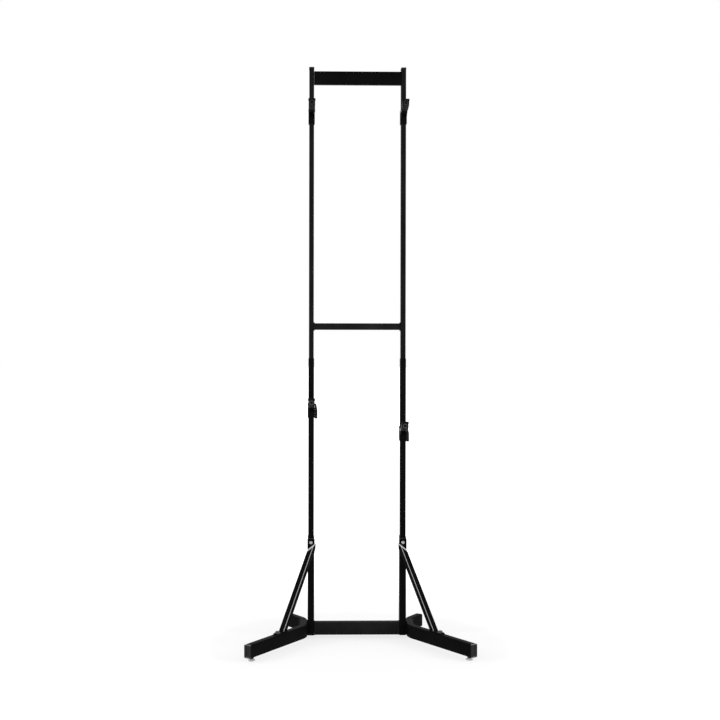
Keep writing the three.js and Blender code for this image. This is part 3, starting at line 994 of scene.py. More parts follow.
POST_TUBE = Tube(width=0.023, depth=0.044, wall=0.0012, corner=0.0030)
LOWER_TUBE = Tube(width=0.020, depth=0.040, wall=0.0012, corner=0.0028)
UPPER_TUBE = Tube(width=0.017, depth=0.037, wall=0.0012, corner=0.0026)
BASE_BAR_TUBE = Tube(width=0.030, depth=0.045, wall=0.0018, corner=0.0030)
MIDDLE_BAR_TUBE = Tube(width=0.024, depth=0.0235, wall=0.0015, corner=0.0024)
BASE_BAR_PLATE = Vector((0.004, 0.0325, 0.045))
MIDDLE_BAR_PLATE = Vector((0.003, 0.028, 0.030))


@dataclass(frozen=True)
class CapBolt:
    """Dome headed bolt with a hexagon socket, its head towards its own +Z."""

    head_radius: float
    head_height: float
    shank_radius: float
    grip: float
    sides: int = 36
    socket_share: float = 0.52
    socket_depth_share: float = 0.62
    flat_share: float = 0.65
    dome_steps: int = 6
    edge: float = 0.0004

    def rings(self) -> list[Ring]:
        """The bolt from its tip to the floor of its socket.

        Returns:
            The rings, which all have as many points.
        """
        rings = turned([
            (self.shank_radius - self.edge, -self.grip),
            (self.shank_radius, self.edge - self.grip),
            (self.shank_radius, 0),
            (self.head_radius - self.edge, 0),
            (self.head_radius, self.edge),
        ], self.sides)
        top = self.head_height - self.edge
        flat_radius = self.flat_share * self.head_radius
        for step in range(1, self.dome_steps + 1):
            share = step / self.dome_steps
            radius = flat_radius + (self.head_radius - flat_radius) * math.cos(math.pi / 2 * share)
            height = self.edge + top * math.sin(math.pi / 2 * share)
            rings.append(raised(circle(radius, self.sides), height))
        across = 2 * self.socket_share * self.head_radius * math.cos(math.pi / 6)
        floor = self.head_height * (1 - self.socket_depth_share)
        rings.append(raised(hexagon(across + 2 * self.edge, self.sides), self.head_height))
        rings.append(raised(hexagon(across, self.sides), self.head_height - self.edge))
        rings.append(raised(hexagon(across, self.sides), floor))
        return rings

    def at(self, place: Matrix) -> bmesh.types.BMesh:
        """The bolt, its seat at a place."""
        return loft([placed(ring, place) for ring in self.rings()])


def middle(node: str) -> Vector:
    """The middle of a node's box."""
    low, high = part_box(node)
    return (low + high) / 2


def facing(place: Vector, axis: Vector) -> Matrix:
    """A station whose Z axis is a level axis, with Y up."""
    return station(place, Z_AXIS.cross(axis), Z_AXIS)


# Base


@dataclass
class BaseLeg:
    """Bent leg of rectangular tube, with its plugs, feet, locknuts and bolt."""

    side: Side
    tube: Tube = Tube(width=0.026, depth=0.045, wall=0.0018, corner=0.0042)
    splay: float = math.radians(32.7)
    bend_radius: float = 0.085
    bend_steps: int = 14
    corner_reach: float = 0.052
    front_reach: float = 0.344
    rear_reach: float = 0.084
    pinch: float = 0.0010
    side_splits: int = 6
    gap: float = GAP
    plug_depth: float = 0.012
    plug_edge: float = 0.0009
    groove: Vector = field(default_factory=lambda: Vector((0.0022, 0.034, 0.0024)))
    groove_aside: float = 0.0025
    foot_inset: float = 0.022
    thread_radius: float = 0.0040
    thread_pitch: float = 0.00125
    thread_depth: float = 0.0005
    nut_width: float = 0.013
    nut_height: float = 0.005
    nut_edge: float = 0.0006
    nut_crown: float = 1.03
    stud_seat: float = 0.0062
    pad_profile: tuple[tuple[float, float], ...] = (
        (0.0098, 0), (0.0106, 0.0002), (0.0114, 0.0006), (0.0120, 0.0014), (0.0120, 0.0034),
        (0.0117, 0.0040), (0.0110, 0.0044), (0.0078, 0.0048), (0.0066, 0.0052), (0.0062, 0.0060),
        (0.0058, 0.0064), (0.0042, 0.0064),
    )
    bead: float = 0.0026
    bolt: CapBolt = CapBolt(head_radius=0.0062, head_height=0.0042, shank_radius=0.004, grip=0.056)

    @cached_property
    def flat(self) -> Vector:
        """Middle of the flat stretch beside the post, at the leg's lowest."""
        low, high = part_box("right_base_post")
        return Vector((high.x + self.gap + self.tube.width / 2, (low.y + high.y) / 2, low.z))

    @cached_property
    def centre_height(self) -> float:
        """Height of the tube's centreline."""
        return self.flat.z + self.tube.depth / 2

    def heading(self, front: bool) -> Vector:
        """Level direction of the leg towards one of its ends."""
        return Vector((math.sin(self.splay), -math.cos(self.splay) if front else math.cos(self.splay), 0))

    def along(self, front: bool, reach: float, height: float) -> Vector:
        """A point over the centreline, a reach past the bend's corner."""
        corner = Vector((self.flat.x, self.flat.y + (-1 if front else 1) * self.corner_reach, height))
        return corner + self.heading(front) * reach

    def bend_centres(self) -> tuple[Vector, Vector]:
        """The centres of the front and rear bends.

        Returns:
            The two centres at the height of the centreline.
        """
        out = self.corner_reach - self.bend_radius * math.tan(self.splay / 2)
        x = self.flat.x + self.bend_radius
        return tuple(Vector((x, self.flat.y + sign * out, self.centre_height)) for sign in (-1, 1))

    def stations(self) -> list[Matrix]:
        """The tube's way from its front end to its rear end.

        Returns:
            The stations, closer together round the bends.
        """
        places = [(self.along(True, self.front_reach, self.centre_height), -self.heading(True))]
        half_turn = math.pi
        ways = ((half_turn + self.splay, half_turn), (half_turn, half_turn - self.splay))
        for centre, (start, end) in zip(self.bend_centres(), ways):
            for step in range(self.bend_steps + 1):
                turn = start + (end - start) * step / self.bend_steps
                out = Vector((math.cos(turn), math.sin(turn), 0))
                places.append((centre + self.bend_radius * out, Vector((out.y, -out.x, 0))))
        places.append((self.along(False, self.rear_reach, self.centre_height), self.heading(False)))
        return [station(at, Vector((-way.y, way.x, 0)), Z_AXIS) for at, way in places]

    def pinched(self, shape: bmesh.types.BMesh) -> bmesh.types.BMesh:
        """Draws the hollow side of each bend in a little, as a press leaves it.

        Args:
            shape: the tube, which is changed.

        Returns:
            The same tube.
        """
        half = self.tube.width / 2
        for vertex in shape.verts:
            for sign, centre in zip((1, -1), self.bend_centres()):
                arm = vertex.co - centre
                level = Vector((arm.x, arm.y, 0))
                turn = math.atan2(-sign * arm.y, -arm.x)
                on_hollow_side = level.length < self.bend_radius - half + 1.5 * self.tube.wall
                if on_hollow_side and 0 < turn < self.splay:
                    height_share = min(1.0, abs(arm.z) / (self.tube.depth / 2))
                    push = math.sin(math.pi * turn / self.splay) * (1 - height_share**2)
                    vertex.co += level.normalized() * self.pinch * push
        return shape

    def plug(self, front: bool) -> bmesh.types.BMesh:
        """Moulded plug in an open end, with a sunk panel on its face.

        Args:
            front: the front end, not the rear one.

        Returns:
            The surface.
        """
        reach = self.front_reach if front else self.rear_reach
        end = self.along(front, reach, self.centre_height)
        at = facing(end, self.heading(front))
        wide, high = self.tube.width, self.tube.depth
        inside = 2 * (self.tube.wall + self.gap)
        edge = self.plug_edge
        face = self.gap + 2.7 * edge
        rim = self.gap + 3.33 * edge
        profile = [
            (-self.plug_depth, inside + edge),
            (edge - self.plug_depth, inside),
            (0, inside),
            (self.gap, edge / 2),
            (self.gap + edge / 2, 0),
            (self.gap + 2 * edge, 0),
            (self.gap + 2.8 * edge, 0.7 * edge),
            (rim, 2.4 * edge),
            (rim, 6.0 * edge),
            (face, 7.0 * edge),
        ]
        rings = []
        for height, less in profile:
            corner = max(self.tube.corner - less / 2, 2 * self.tube.wall / 3)
            rings.append(raised(rounded_rectangle(wide - less, high - less, corner), height))
        shape = loft(rings)
        groove = slab(self.groove, Vector((self.groove_aside, 0, face)), self.gap)
        shape = carved(shape, groove)
        shape.transform(at)
        return shape

    def foot_pad(self, centre: Vector) -> bmesh.types.BMesh:
        """Round pad that stands on the floor, with a boss round the stud.

        Args:
            centre: the place on the floor under it.

        Returns:
            The surface.
        """
        shape = loft(turned(self.pad_profile, 48))
        shape.transform(Matrix.Translation(centre))
        return shape

    def foot_stud(self, centre: Vector, low: float, high: float) -> bmesh.types.BMesh:
        """Stud with a cut thread where it shows.

        Args:
            centre: the place on the floor under it.
            low: the height of its lower end.
            high: the height of its upper end.

        Returns:
            The surface.
        """
        sides, steps_in_a_turn = 24, 6
        thread_top = self.flat.z + 2 * self.tube.wall
        rings = []
        step = self.thread_pitch / steps_in_a_turn
        count = round((thread_top - low) / step)
        for index in range(count + 1):
            height = low + index * step
            ring = []
            for side in range(sides):
                phase = (height / self.thread_pitch - side / sides) % 1
                radius = self.thread_radius - self.thread_depth * 2 * abs(phase - 0.5)
                turn = 2 * math.pi * side / sides
                ring.append(Vector((radius * math.cos(turn), radius * math.sin(turn), height)))
            rings.append(ring)
        rings.append(raised(circle(self.thread_radius, sides), thread_top + step))
        rings.append(raised(circle(self.thread_radius, sides), high - self.nut_edge))
        rings.append(raised(circle(self.thread_radius - self.nut_edge, sides), high))
        shape = loft(rings)
        shape.transform(Matrix.Translation(centre))
        return shape

    def locknut(self, front: bool, centre: Vector) -> bmesh.types.BMesh:
        """Hexagon nut up against the leg.

        Args:
            front: the nut of the front foot.
            centre: the place on the floor under it.

        Returns:
            The surface.
        """
        sides = 48
        high = self.flat.z - self.gap
        low = high - self.nut_height
        crown = self.nut_width / 2 * self.nut_crown
        bore = self.thread_radius + self.thread_depth / 2
        rings = [
            raised(hexagon(self.nut_width, sides, crown), low),
            raised(hexagon(self.nut_width, sides), low + self.nut_edge),
            raised(hexagon(self.nut_width, sides), high - self.nut_edge),
            raised(hexagon(self.nut_width, sides, crown), high),
            raised(circle(bore + self.nut_edge, sides), high),
            raised(circle(bore, sides), high - self.nut_edge),
            raised(circle(bore, sides), low + self.nut_edge),
            raised(circle(bore + self.nut_edge, sides), low),
        ]
        shape = loft(rings, looped=True)
        turn = math.radians(30) + (self.splay if front else -self.splay)
        shape.transform(Matrix.Translation(centre) @ Matrix.Rotation(turn, 4, "Z"))
        return shape

    def post_weld(self) -> bmesh.types.BMesh:
        """Bead up, over and down where the post is welded to the leg.

        Returns:
            The surface.
        """
        x = self.flat.x - self.tube.width / 2
        half = POST_TUBE.depth / 2
        low, top = self.flat.z + self.bead, self.flat.z + self.tube.depth - self.bead / 2
        corners = [(-half, low), (-half, top), (half, top), (half, low)]
        return weld_bead([Vector((x, self.flat.y + y, z)) for y, z in corners], self.bead)

    def build(self) -> None:
        """Makes the leg's pieces and dresses them."""
        word = self.side.word
        tube = self.pinched(self.tube.drawn(self.stations(), self.side_splits))
        fit(f"{word}_leg_tube", mirrored(tube, self.side), COAT, stands_for=[f"{word}_base_leg"])
        fit(f"{word}_leg_weld", mirrored(self.post_weld(), self.side), COAT)
        for front, end in ((True, "front"), (False, "rear")):
            own = f"{word}_{end}"
            plug = mirrored(self.plug(front), self.side)
            # The cap plastic carries painted highlights on its faces turned up and down.
            fit(f"{own}_plug", plug, CAP_PLASTIC, stands_for=[f"{own}_end_cap"])
            reach = (self.front_reach if front else self.rear_reach) - self.foot_inset
            centre = self.along(front, reach, 0)
            body = f"{own}_foot_body"
            low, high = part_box(f"{own}_levelling_foot")
            pad = mirrored(self.foot_pad(centre), self.side)
            fit(f"{own}_foot_pad", pad, FOOT_PLASTIC, body, [f"{own}_levelling_foot"])
            stud = mirrored(self.foot_stud(centre, low.z + self.stud_seat, high.z), self.side)
            fit(f"{own}_foot_stud", stud, BLACK_STEEL, body)
            nut = mirrored(self.locknut(front, centre), self.side)
            fit(f"{own}_locknut", nut, BLACK_STEEL, stands_for=[f"{own}_foot_nut"])
        seat = Vector((self.flat.x + self.tube.width / 2 + self.gap, self.flat.y, self.centre_height))
        bolt = mirrored(self.bolt.at(facing(seat, X_AXIS)), self.side)
        fit(f"{word}_leg_bolt", bolt, ZINC, stands_for=[f"{word}_crossbar_bolt"])


@dataclass
class PlatedBar:
    """Level tube between the uprights, with a plate welded across each end."""

    name: str
    node: str
    neighbour: str
    tube: Tube
    plate: Vector
    gap: float = GAP
    edge: float = 0.0007
    sunk: float = 0.001
    bead: float = 0.0011

    def build(self) -> None:
        """Makes the bar with its plates and beads."""
        centre = middle(self.node)
        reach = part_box(self.neighbour)[0].x - self.gap
        half = reach - self.plate.x
        ends = [Vector((x, centre.y, centre.z)) for x in (-half - self.sunk, half + self.sunk)]
        tube = self.tube.drawn([station(end, Y_AXIS, Z_AXIS) for end in ends])
        plates = []
        for sign in (-1, 1):
            at = Vector((sign * (reach - self.plate.x / 2), centre.y, centre.z))
            plates.append(slab(self.plate, at, self.edge))
        fit(self.name, united(tube, *plates), BAR_COAT, stands_for=[self.node])
        beads = []
        for sign in (-1, 1):
            for front in (-1, 1):
                y = centre.y + front * self.tube.width / 2
                tall = self.tube.depth / 2 - self.tube.corner
                ends = [Vector((sign * half, y, centre.z + z)) for z in (-tall, tall)]
                beads.append(weld_bead(ends, self.bead))
        # The beads are coated paler as a painted highlight.
        fit(f"{self.name}_welds", merged(*beads), WELD_HIGHLIGHT_COAT)


# Uprights


@dataclass
class Upright:
    """Post, lower tube and upper tube, one in the other, with a cap and a screw."""

    side: Side
    gap: float = GAP
    cap_overhang: float = 0.0008
    cap_rim: float = 0.0035
    cap_dome: float = 0.0025
    cap_corner: float = 0.0032
    cap_least_corner: float = 0.0011
    crown_steps: int = 6
    crown_share: float = 0.42
    screw: CapBolt = CapBolt(head_radius=0.0045, head_height=0.002, shank_radius=0.0025, grip=0.006)

    def stretch(self, node: str, tube: Tube, name: str, finish: Finish) -> None:
        """Makes one tube where its node stands.

        Args:
            node: the node that it stands for.
            tube: its section.
            name: the piece's name.
            finish: what it's dressed in.
        """
        low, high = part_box(node)
        at = middle(node)
        ends = [station(Vector((at.x, at.y, z)), X_AXIS, Y_AXIS) for z in (low.z, high.z)]
        fit(name, tube.drawn(ends), finish, stands_for=[node])

    def cap(self, node: str) -> bmesh.types.BMesh:
        """Moulded cap with a low crown.

        Args:
            node: the node that it stands for.

        Returns:
            The surface.
        """
        low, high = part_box(node)
        at = middle(node)
        seat = high.z - self.cap_dome - self.cap_rim + self.gap
        wide = UPPER_TUBE.width + 2 * self.cap_overhang
        deep = UPPER_TUBE.depth + 2 * self.cap_overhang
        inside = 2 * (self.cap_overhang + UPPER_TUBE.wall + self.gap)
        profile = [(low.z, inside + self.gap), (low.z + self.gap, inside), (seat, inside)]
        profile += [(seat, self.gap), (seat + self.gap, 0), (high.z - self.cap_dome, 0)]
        for step in range(1, self.crown_steps + 1):
            turn = math.pi / 2 * step / self.crown_steps
            less = wide * self.crown_share * (1 - math.cos(turn))
            profile.append((high.z - self.cap_dome * (1 - math.sin(turn)), less))
        rings = []
        for height, less in profile:
            corner = max(self.cap_corner - less / 2, self.cap_least_corner)
            rings.append(raised(rounded_rectangle(wide - less, deep - less, corner), height))
        shape = loft(rings)
        shape.transform(Matrix.Translation((at.x, at.y, 0)))
        return shape

    def build(self) -> None:
        """Makes the upright's pieces and dresses them."""
        word = self.side.word
        self.stretch(f"{word}_base_post", POST_TUBE, f"{word}_post_tube", COAT)
        self.stretch(f"{word}_lower_upright", LOWER_TUBE, f"{word}_lower_tube", COAT)
        self.stretch(f"{word}_upper_upright", UPPER_TUBE, f"{word}_upper_tube", RUBBED_COAT)
        cap = f"{word}_upright_cap"
        fit(f"{word}_tube_cap", self.cap(cap), END_PLASTIC, stands_for=[cap])
        screw = f"{word}_joint_screw"
        at = middle(screw)
        seat = Vector((at.x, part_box(screw)[1].y - self.screw.head_height, at.z))
        fit(f"{word}_tube_screw", self.screw.at(facing(seat, Y_AXIS)), ZINC, stands_for=[screw])


@dataclass
class TopPlate:
    """Folded sheet across the top, with sloped bands along its front and a plate at each end."""

    node: str = "top_plate"
    sheet: float = 0.002
    depth: float = 0.021
    band: float = 0.007
    band_set: float = 0.005
    front_set: float = 0.020
    end_plate: float = 0.003
    fold: float = 0.0006
    edge: float = 0.0005
    gap: float = GAP

    def section(self, half: float) -> Ring:
        """The sheet's section, as forward distance and height.

        Args:
            half: half of the plate's height.

        Returns:
            The points.
        """
        back = self.front_set - self.depth
        set_back = self.front_set - self.band_set
        outer = [
            (back, half), (set_back, half), (self.front_set, half - self.band),
            (self.front_set, self.band - half), (set_back, -half), (back, -half),
        ]
        face = self.front_set - self.sheet
        inner = [
            (back, self.sheet - half), (set_back - self.sheet, self.sheet - half),
            (face, self.band - half), (face, half - self.band),
            (set_back - self.sheet, half - self.sheet), (back, half - self.sheet),
        ]
        return [Vector((x, y, 0)) for x, y in outer + inner]

    def build(self) -> None:
        """Makes the plate and dresses it."""
        low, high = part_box(self.node)
        half = (high.z - low.z) / 2
        centre = Vector((0, middle("right_upper_upright").y, (low.z + high.z) / 2))
        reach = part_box("right_upper_upright")[0].x - self.gap
        length = 2 * reach - self.end_plate
        sheet = loft([raised(self.section(half), -length / 2), raised(self.section(half), length / 2)])
        soften(sheet, self.fold)
        sheet.transform(station(centre, -Y_AXIS, Z_AXIS))
        plate_depth = self.depth - self.band_set
        ends = []
        for sign in (-1, 1):
            y = centre.y - (self.front_set - self.band_set - plate_depth / 2)
            at = Vector((sign * (reach - self.end_plate / 2), y, centre.z))
            ends.append(slab(Vector((self.end_plate, plate_depth, 2 * half)), at, self.edge))
        fit("top_plate_sheet", united(sheet, *ends), COAT, stands_for=[self.node])


# Braces


@dataclass
class Brace:
    """Folded angle from the post to the leg, its ridge to the front, with its two bolts."""

    side: Side
    leg: BaseLeg
    flange: float = 0.019
    sheet: float = 0.0024
    fold_radius: float = 0.0034
    top: Vector = field(default_factory=lambda: Vector((0.157, -0.030, 0.328)))
    foot_reach: float = 0.134
    turn: float = math.radians(9)
    spare: float = 0.024
    gap: float = GAP
    tab: Vector = field(default_factory=lambda: Vector((0.026, 0.003, 0.054)))
    foot: Vector = field(default_factory=lambda: Vector((0.022, 0.062, 0.003)))
    foot_middle: float = 0.015
    plate_corner: float = 0.004
    edge: float = 0.0005
    # Painted highlights: pale colours along the fold and at the slanted upper end, where the bends catch the
    # light.
    fold_slope: float = math.radians(38)
    worn_fold: Colour = (0.42, 0.42, 0.425)
    fold_cosines: tuple[float, float] = (0.94, 0.98)
    worn_end: Colour = (0.52, 0.52, 0.53)
    worn_breadth: float = 0.004
    top_bolt: CapBolt = CapBolt(head_radius=0.0062, head_height=0.0042, shank_radius=0.004, grip=0.0094)
    washer_radius: float = 0.010
    washer: float = 0.002
    head_width: float = 0.0121
    head_height: float = 0.005
    head_crown: float = 1.02
    head_flat: float = 0.9
    head_dip: float = 0.5
    bolt_reach: float = 0.034
    bolt_depth: float = 0.012

    @cached_property
    def leg_top(self) -> float:
        """Height of the leg's upper face."""
        return self.leg.flat.z + self.leg.tube.depth

    @cached_property
    def post_face(self) -> float:
        """Where the brace meets the post's front face, along Y."""
        return self.leg.flat.y - POST_TUBE.depth / 2 - self.gap

    @cached_property
    def run(self) -> tuple[Vector, Vector]:
        """Where the angle starts and ends."""
        return self.top + Vector((0, self.leg.flat.y, 0)), self.leg.along(True, self.foot_reach, self.leg_top)

    @cached_property
    def ridge(self) -> Vector:
        """The way the angle's fold points.

        Returns:
            The direction, of length 1.
        """
        along = (self.run[1] - self.run[0]).normalized()
        ridge = (-Y_AXIS - along * (-Y_AXIS).dot(along)).normalized()
        ridge.rotate(Matrix.Rotation(self.turn, 3, along))
        return ridge

    @cached_property
    def cut(self) -> Vector:
        """The way the angle's slanted upper end faces."""
        return Vector((math.sin(self.fold_slope), 0, math.cos(self.fold_slope)))

    @cached_property
    def cut_place(self) -> Vector:
        """A point on the slanted upper end."""
        return Vector((middle("right_base_post").x, 0, self.top.z))

    @cached_property
    def coat(self) -> PowderCoat:
        """The coat, with painted highlights along the fold, on the slanted end and in a band beside it.

        Returns:
            The finish, its painted highlights turned to this side.
        """
        # Painted highlights along the fold, on the slanted end and in a band beside it.
        ridge, cut = ((self.side.value * way.x, way.y, way.z) for way in (self.ridge, self.cut))
        band = Band(cut, self.cut.dot(self.cut_place), self.worn_breadth, self.worn_end)
        wear = Wear(((ridge, self.worn_fold), (cut, self.worn_end)), self.fold_cosines, (band,))
        return PowderCoat(f"{self.side.word}_folded_powder", Slot.POWDER, wear=wear)

    def angle(self) -> bmesh.types.BMesh:
        """The folded angle, cut off at the post, at the leg and on a slant at its upper end.

        Returns:
            The surface.
        """
        top, bottom = self.run
        along = (bottom - top).normalized()
        ridge = self.ridge
        across = ridge.cross(along)
        first, second = (-ridge - across).normalized(), (-ridge + across).normalized()
        start = top - along * self.spare + ridge * (self.flange * math.sqrt(0.5) / 2)
        turn = Matrix((first, second, along)).transposed().to_4x4()
        turn.translation = start
        length = (bottom - top).length + 2 * self.spare
        section = self.section()
        shape = loft([placed(section, turn), placed(raised(section, length), turn)])
        cuts = [
            (Vector((0, self.post_face, 0)), Y_AXIS),
            (Vector((0, 0, self.leg_top + self.gap)), -Z_AXIS),
            (self.cut_place, self.cut),
        ]
        for place, away in cuts:
            trim(shape, place, away)
        return shape

    def section(self) -> Ring:
        """The angle's section, its fold at the origin.

        Returns:
            The points.
        """
        reach, sheet, fold = self.flange, self.sheet, self.fold_radius
        centre = Vector((fold, fold, 0))
        inner = arc(centre, fold - sheet, 270, 180, 4)
        outer = arc(centre, fold, 180, 270, 6)
        tips = [Vector((reach, 0, 0)), Vector((reach, sheet, 0))]
        others = [Vector((sheet, reach, 0)), Vector((0, reach, 0))]
        return [*tips, *inner, *others, *outer]

    def tab_plate(self) -> bmesh.types.BMesh:
        """Plate that is bolted to the post.

        Returns:
            The surface.
        """
        _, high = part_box("right_brace")
        shape = plate(rounded_rectangle(self.tab.x, self.tab.z, self.plate_corner), self.tab.y, self.edge)
        y = self.post_face - self.tab.y / 2
        centre = Vector((middle("right_base_post").x, y, high.z - self.tab.z / 2))
        shape.transform(facing(centre, -Y_AXIS))
        return shape

    def foot_plate(self) -> bmesh.types.BMesh:
        """Plate that is bolted to the leg.

        Returns:
            The surface.
        """
        shape = plate(rounded_rectangle(self.foot.x, self.foot.y, self.plate_corner), self.foot.z, self.edge)
        height = self.leg_top + self.gap + self.foot.z / 2
        centre = self.leg.along(True, self.foot_reach + self.foot_middle, height)
        shape.transform(Matrix.Translation(centre) @ Matrix.Rotation(self.leg.splay, 4, "Z"))
        return shape

    def foot_bolt(self) -> bmesh.types.BMesh:
        """Hexagon bolt with a broad washer.

        Returns:
            The surface.
        """
        sides = 48
        seat = self.leg_top + self.foot.z + 2 * self.gap
        centre = self.leg.along(True, self.foot_reach + self.bolt_reach, seat)
        top = self.washer + self.head_height
        crown = self.head_width / 2 * self.head_crown
        rings = turned([
            (self.top_bolt.shank_radius, -self.bolt_depth),
            (self.top_bolt.shank_radius, 0),
            (self.washer_radius - self.edge, 0),
            (self.washer_radius, self.edge),
            (self.washer_radius, self.washer - self.edge),
            (self.washer_radius - self.edge, self.washer),
        ], sides)
        rings += [
            raised(hexagon(self.head_width, sides), self.washer),
            raised(hexagon(self.head_width, sides), top - 2 * self.edge),
            raised(hexagon(self.head_width, sides, crown), top - self.edge / 2),
            raised(circle(crown * self.head_flat, sides), top),
            raised(circle(crown * self.head_dip, sides), top - self.edge / 2),
        ]
        shape = loft(rings)
        shape.transform(Matrix.Translation(centre))
        return shape

    def build(self) -> None:
        """Makes the brace and its bolts and dresses them."""
        word = self.side.word
        shape = united(self.tab_plate(), self.foot_plate(), self.angle())
        shape = mirrored(shape, self.side)
        fit(f"{word}_brace_angle", shape, self.coat, stands_for=[f"{word}_brace"], crease=20)
        at = middle("right_brace_top_bolt")
        seat = Vector((at.x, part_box("right_brace_top_bolt")[0].y + self.top_bolt.head_height, at.z))
        top_bolt = mirrored(self.top_bolt.at(facing(seat, -Y_AXIS)), self.side)
        fit(f"{word}_tab_bolt", top_bolt, ZINC, stands_for=[f"{word}_brace_top_bolt"])
        foot_bolt = mirrored(self.foot_bolt(), self.side)
        fit(f"{word}_washer_bolt", foot_bolt, DULL_ZINC, stands_for=[f"{word}_brace_foot_bolt"])


# Arms


@dataclass
class Arm:
    """Carriage on an upright, with its knob, and a padded cradle that tilts and rolls."""

    name: str
    tube: Tube
    plug: Finish
    slide: float = 0.0005
    wall: float = 0.0021
    height: float = 0.050
    corner: float = 0.0040
    sheet_edge: float = 0.0005
    gap: float = GAP
    ear: float = 0.0028
    ear_radius: float = 0.012
    ear_gap: float = 0.0154
    ear_forward: float = 0.013
    ear_rise: float = 0.017
    ear_drop: float = 0.004
    bar_width: float = 0.0114
    bar_height: float = 0.016
    bar_root: float = 0.030
    spigot_radius: float = 0.0055
    bar_length: float = 0.080
    bar_edge: float = 0.0009
    bush_flange: float = 0.0014
    bush_radius: float = 0.0105
    bush_sleeve: float = 0.005
    bush_bore: float = 0.0033
    pin_head_radius: float = 0.0055
    pin_head_height: float = 0.0018
    pin_radius: float = 0.003
    pin_socket_share: float = 0.7
    nut_width: float = 0.0095
    nut_crown: float = 1.02
    pad_width: float = 0.0225
    pad_edge: float = 0.0011
    lip_width: float = 0.025
    lip_edge: float = 0.0013
    pad_under: float = 0.0096
    pad_start: float = 0.032
    pad_end: float = 0.086
    ridge: float = 0.012
    ridge_end: float = 0.037
    seat_low: float = 0.0034
    lip_start: float = 0.075
    lip: float = 0.0146
    tip: float = 0.003
    rib: float = 0.0009
    ribs: int = 7
    plug_width: float = 0.0135
    plug_height: float = 0.014
    plug_drop: float = 0.0018
    handle: float = 0.054
    thin_end: float = 0.005
    thick_end: float = 0.0095
    taper: float = 0.024
    thin_radius: float = 0.0055
    thick_radius: float = 0.0065
    handle_edge: float = 0.0011
    stud_radius: float = 0.003

    @cached_property
    def joints(self) -> dict[str, dict]:
        """The arm's own joints, by what they do."""
        own = f"{self.name}_"
        return {j["name"].removeprefix(own): j for j in frame["joints"] if j["name"].startswith(own)}

    @cached_property
    def pivot(self) -> Vector:
        """Middle of the bolt that the arm tilts on."""
        return Vector(self.joints["arm_tilt"]["pos_m"])

    @cached_property
    def tilted(self) -> Matrix:
        """The arm's own frame: X out along it, Y up from it."""
        out = -Vector(self.joints["cradle_roll"]["axis"])
        return station(self.pivot, out, out.cross(X_AXIS))

    @cached_property
    def rolled(self) -> Matrix:
        """The cradle's frame: level in the middle of its travel, rolled from there at rest.

        Returns:
            The frame, laid out as the arm's own.
        """
        low, high = self.joints["cradle_roll"]["range_deg"]
        roll = -math.radians(low + high) / 2
        return self.tilted @ Matrix.Rotation(-roll, 4, "X")

    def carriage(self) -> bmesh.types.BMesh:
        """Sleeve with two ears.

        Returns:
            The surface.
        """
        centre = Vector((self.pivot.x, middle("right_base_post").y, self.pivot.z - self.ear_rise))
        play = 2 * self.slide
        inner = rounded_rectangle(self.tube.width + play, self.tube.depth + play, self.corner - self.wall)
        thick = play + 2 * self.wall
        wide, deep = self.tube.width + thick, self.tube.depth + thick
        outer = rounded_rectangle(wide, deep, self.corner)
        ends = [station(centre + Z_AXIS * z, X_AXIS, Y_AXIS) for z in (-self.height / 2, self.height / 2)]
        sleeve = hollow_tube(outer, inner, ends, self.sheet_edge)
        front = deep / 2
        eye = Vector((front + self.ear_forward, self.ear_rise, 0))
        outline = [
            Vector((front - self.wall, -self.ear_drop, 0)),
            Vector((front + self.wall, -self.ear_drop, 0)),
            *arc(eye, self.ear_radius, -45, 90, 14),
            Vector((front - self.wall, self.height / 2, 0)),
        ]
        ears = []
        for sign in (-1, 1):
            ear = plate(outline, self.ear, self.sheet_edge)
            aside = sign * (self.ear_gap + self.ear) / 2
            ear.transform(station(centre + X_AXIS * aside, -Y_AXIS, Z_AXIS))
            ears.append(ear)
        return united(sleeve, *ears)

    def pivot_bolt(self) -> bmesh.types.BMesh:
        """Cap bolt through the ears, with a low nut on its other end.

        Returns:
            The surface.
        """
        seat = self.ear_gap / 2 + self.ear + self.gap
        bolt = CapBolt(
            self.pin_head_radius, self.pin_head_height, self.pin_radius, 2 * seat,
            socket_depth_share=self.pin_socket_share,
        )
        at = facing(self.pivot, X_AXIS)
        sides = bolt.sides
        low = -seat - bolt.head_height
        nut = [
            raised(hexagon(self.nut_width, sides, self.nut_width / 2 * self.nut_crown), low),
            raised(hexagon(self.nut_width, sides), low + bolt.edge),
            raised(hexagon(self.nut_width, sides), -seat),
        ]
        shank = [raised(ring, seat) for ring in bolt.rings()[2:]]
        neck = raised(circle(bolt.shank_radius, sides), -seat)
        return loft([placed(ring, at) for ring in [*nut, neck, *shank]])

    def bush(self) -> bmesh.types.BMesh:
        """Flanged nylon bush between the ears.

        Returns:
            The surface.
        """
        inner = self.bar_width / 2 + self.gap
        outer = inner + self.bush_flange
        edge = self.bush_flange / 4
        bore, sleeve, rim = self.bush_bore, self.bush_sleeve, self.bush_radius
        profile = [
            (bore, -outer), (rim - edge, -outer), (rim, edge - outer), (rim, -inner - edge),
            (rim - edge, -inner), (sleeve, -inner), (sleeve, inner), (rim - edge, inner),
            (rim, inner + edge), (rim, outer - edge), (rim - edge, outer), (bore, outer),
        ]
        at = facing(self.pivot, X_AXIS)
        return loft([placed(ring, at) for ring in turned(profile, 48)], looped=True)

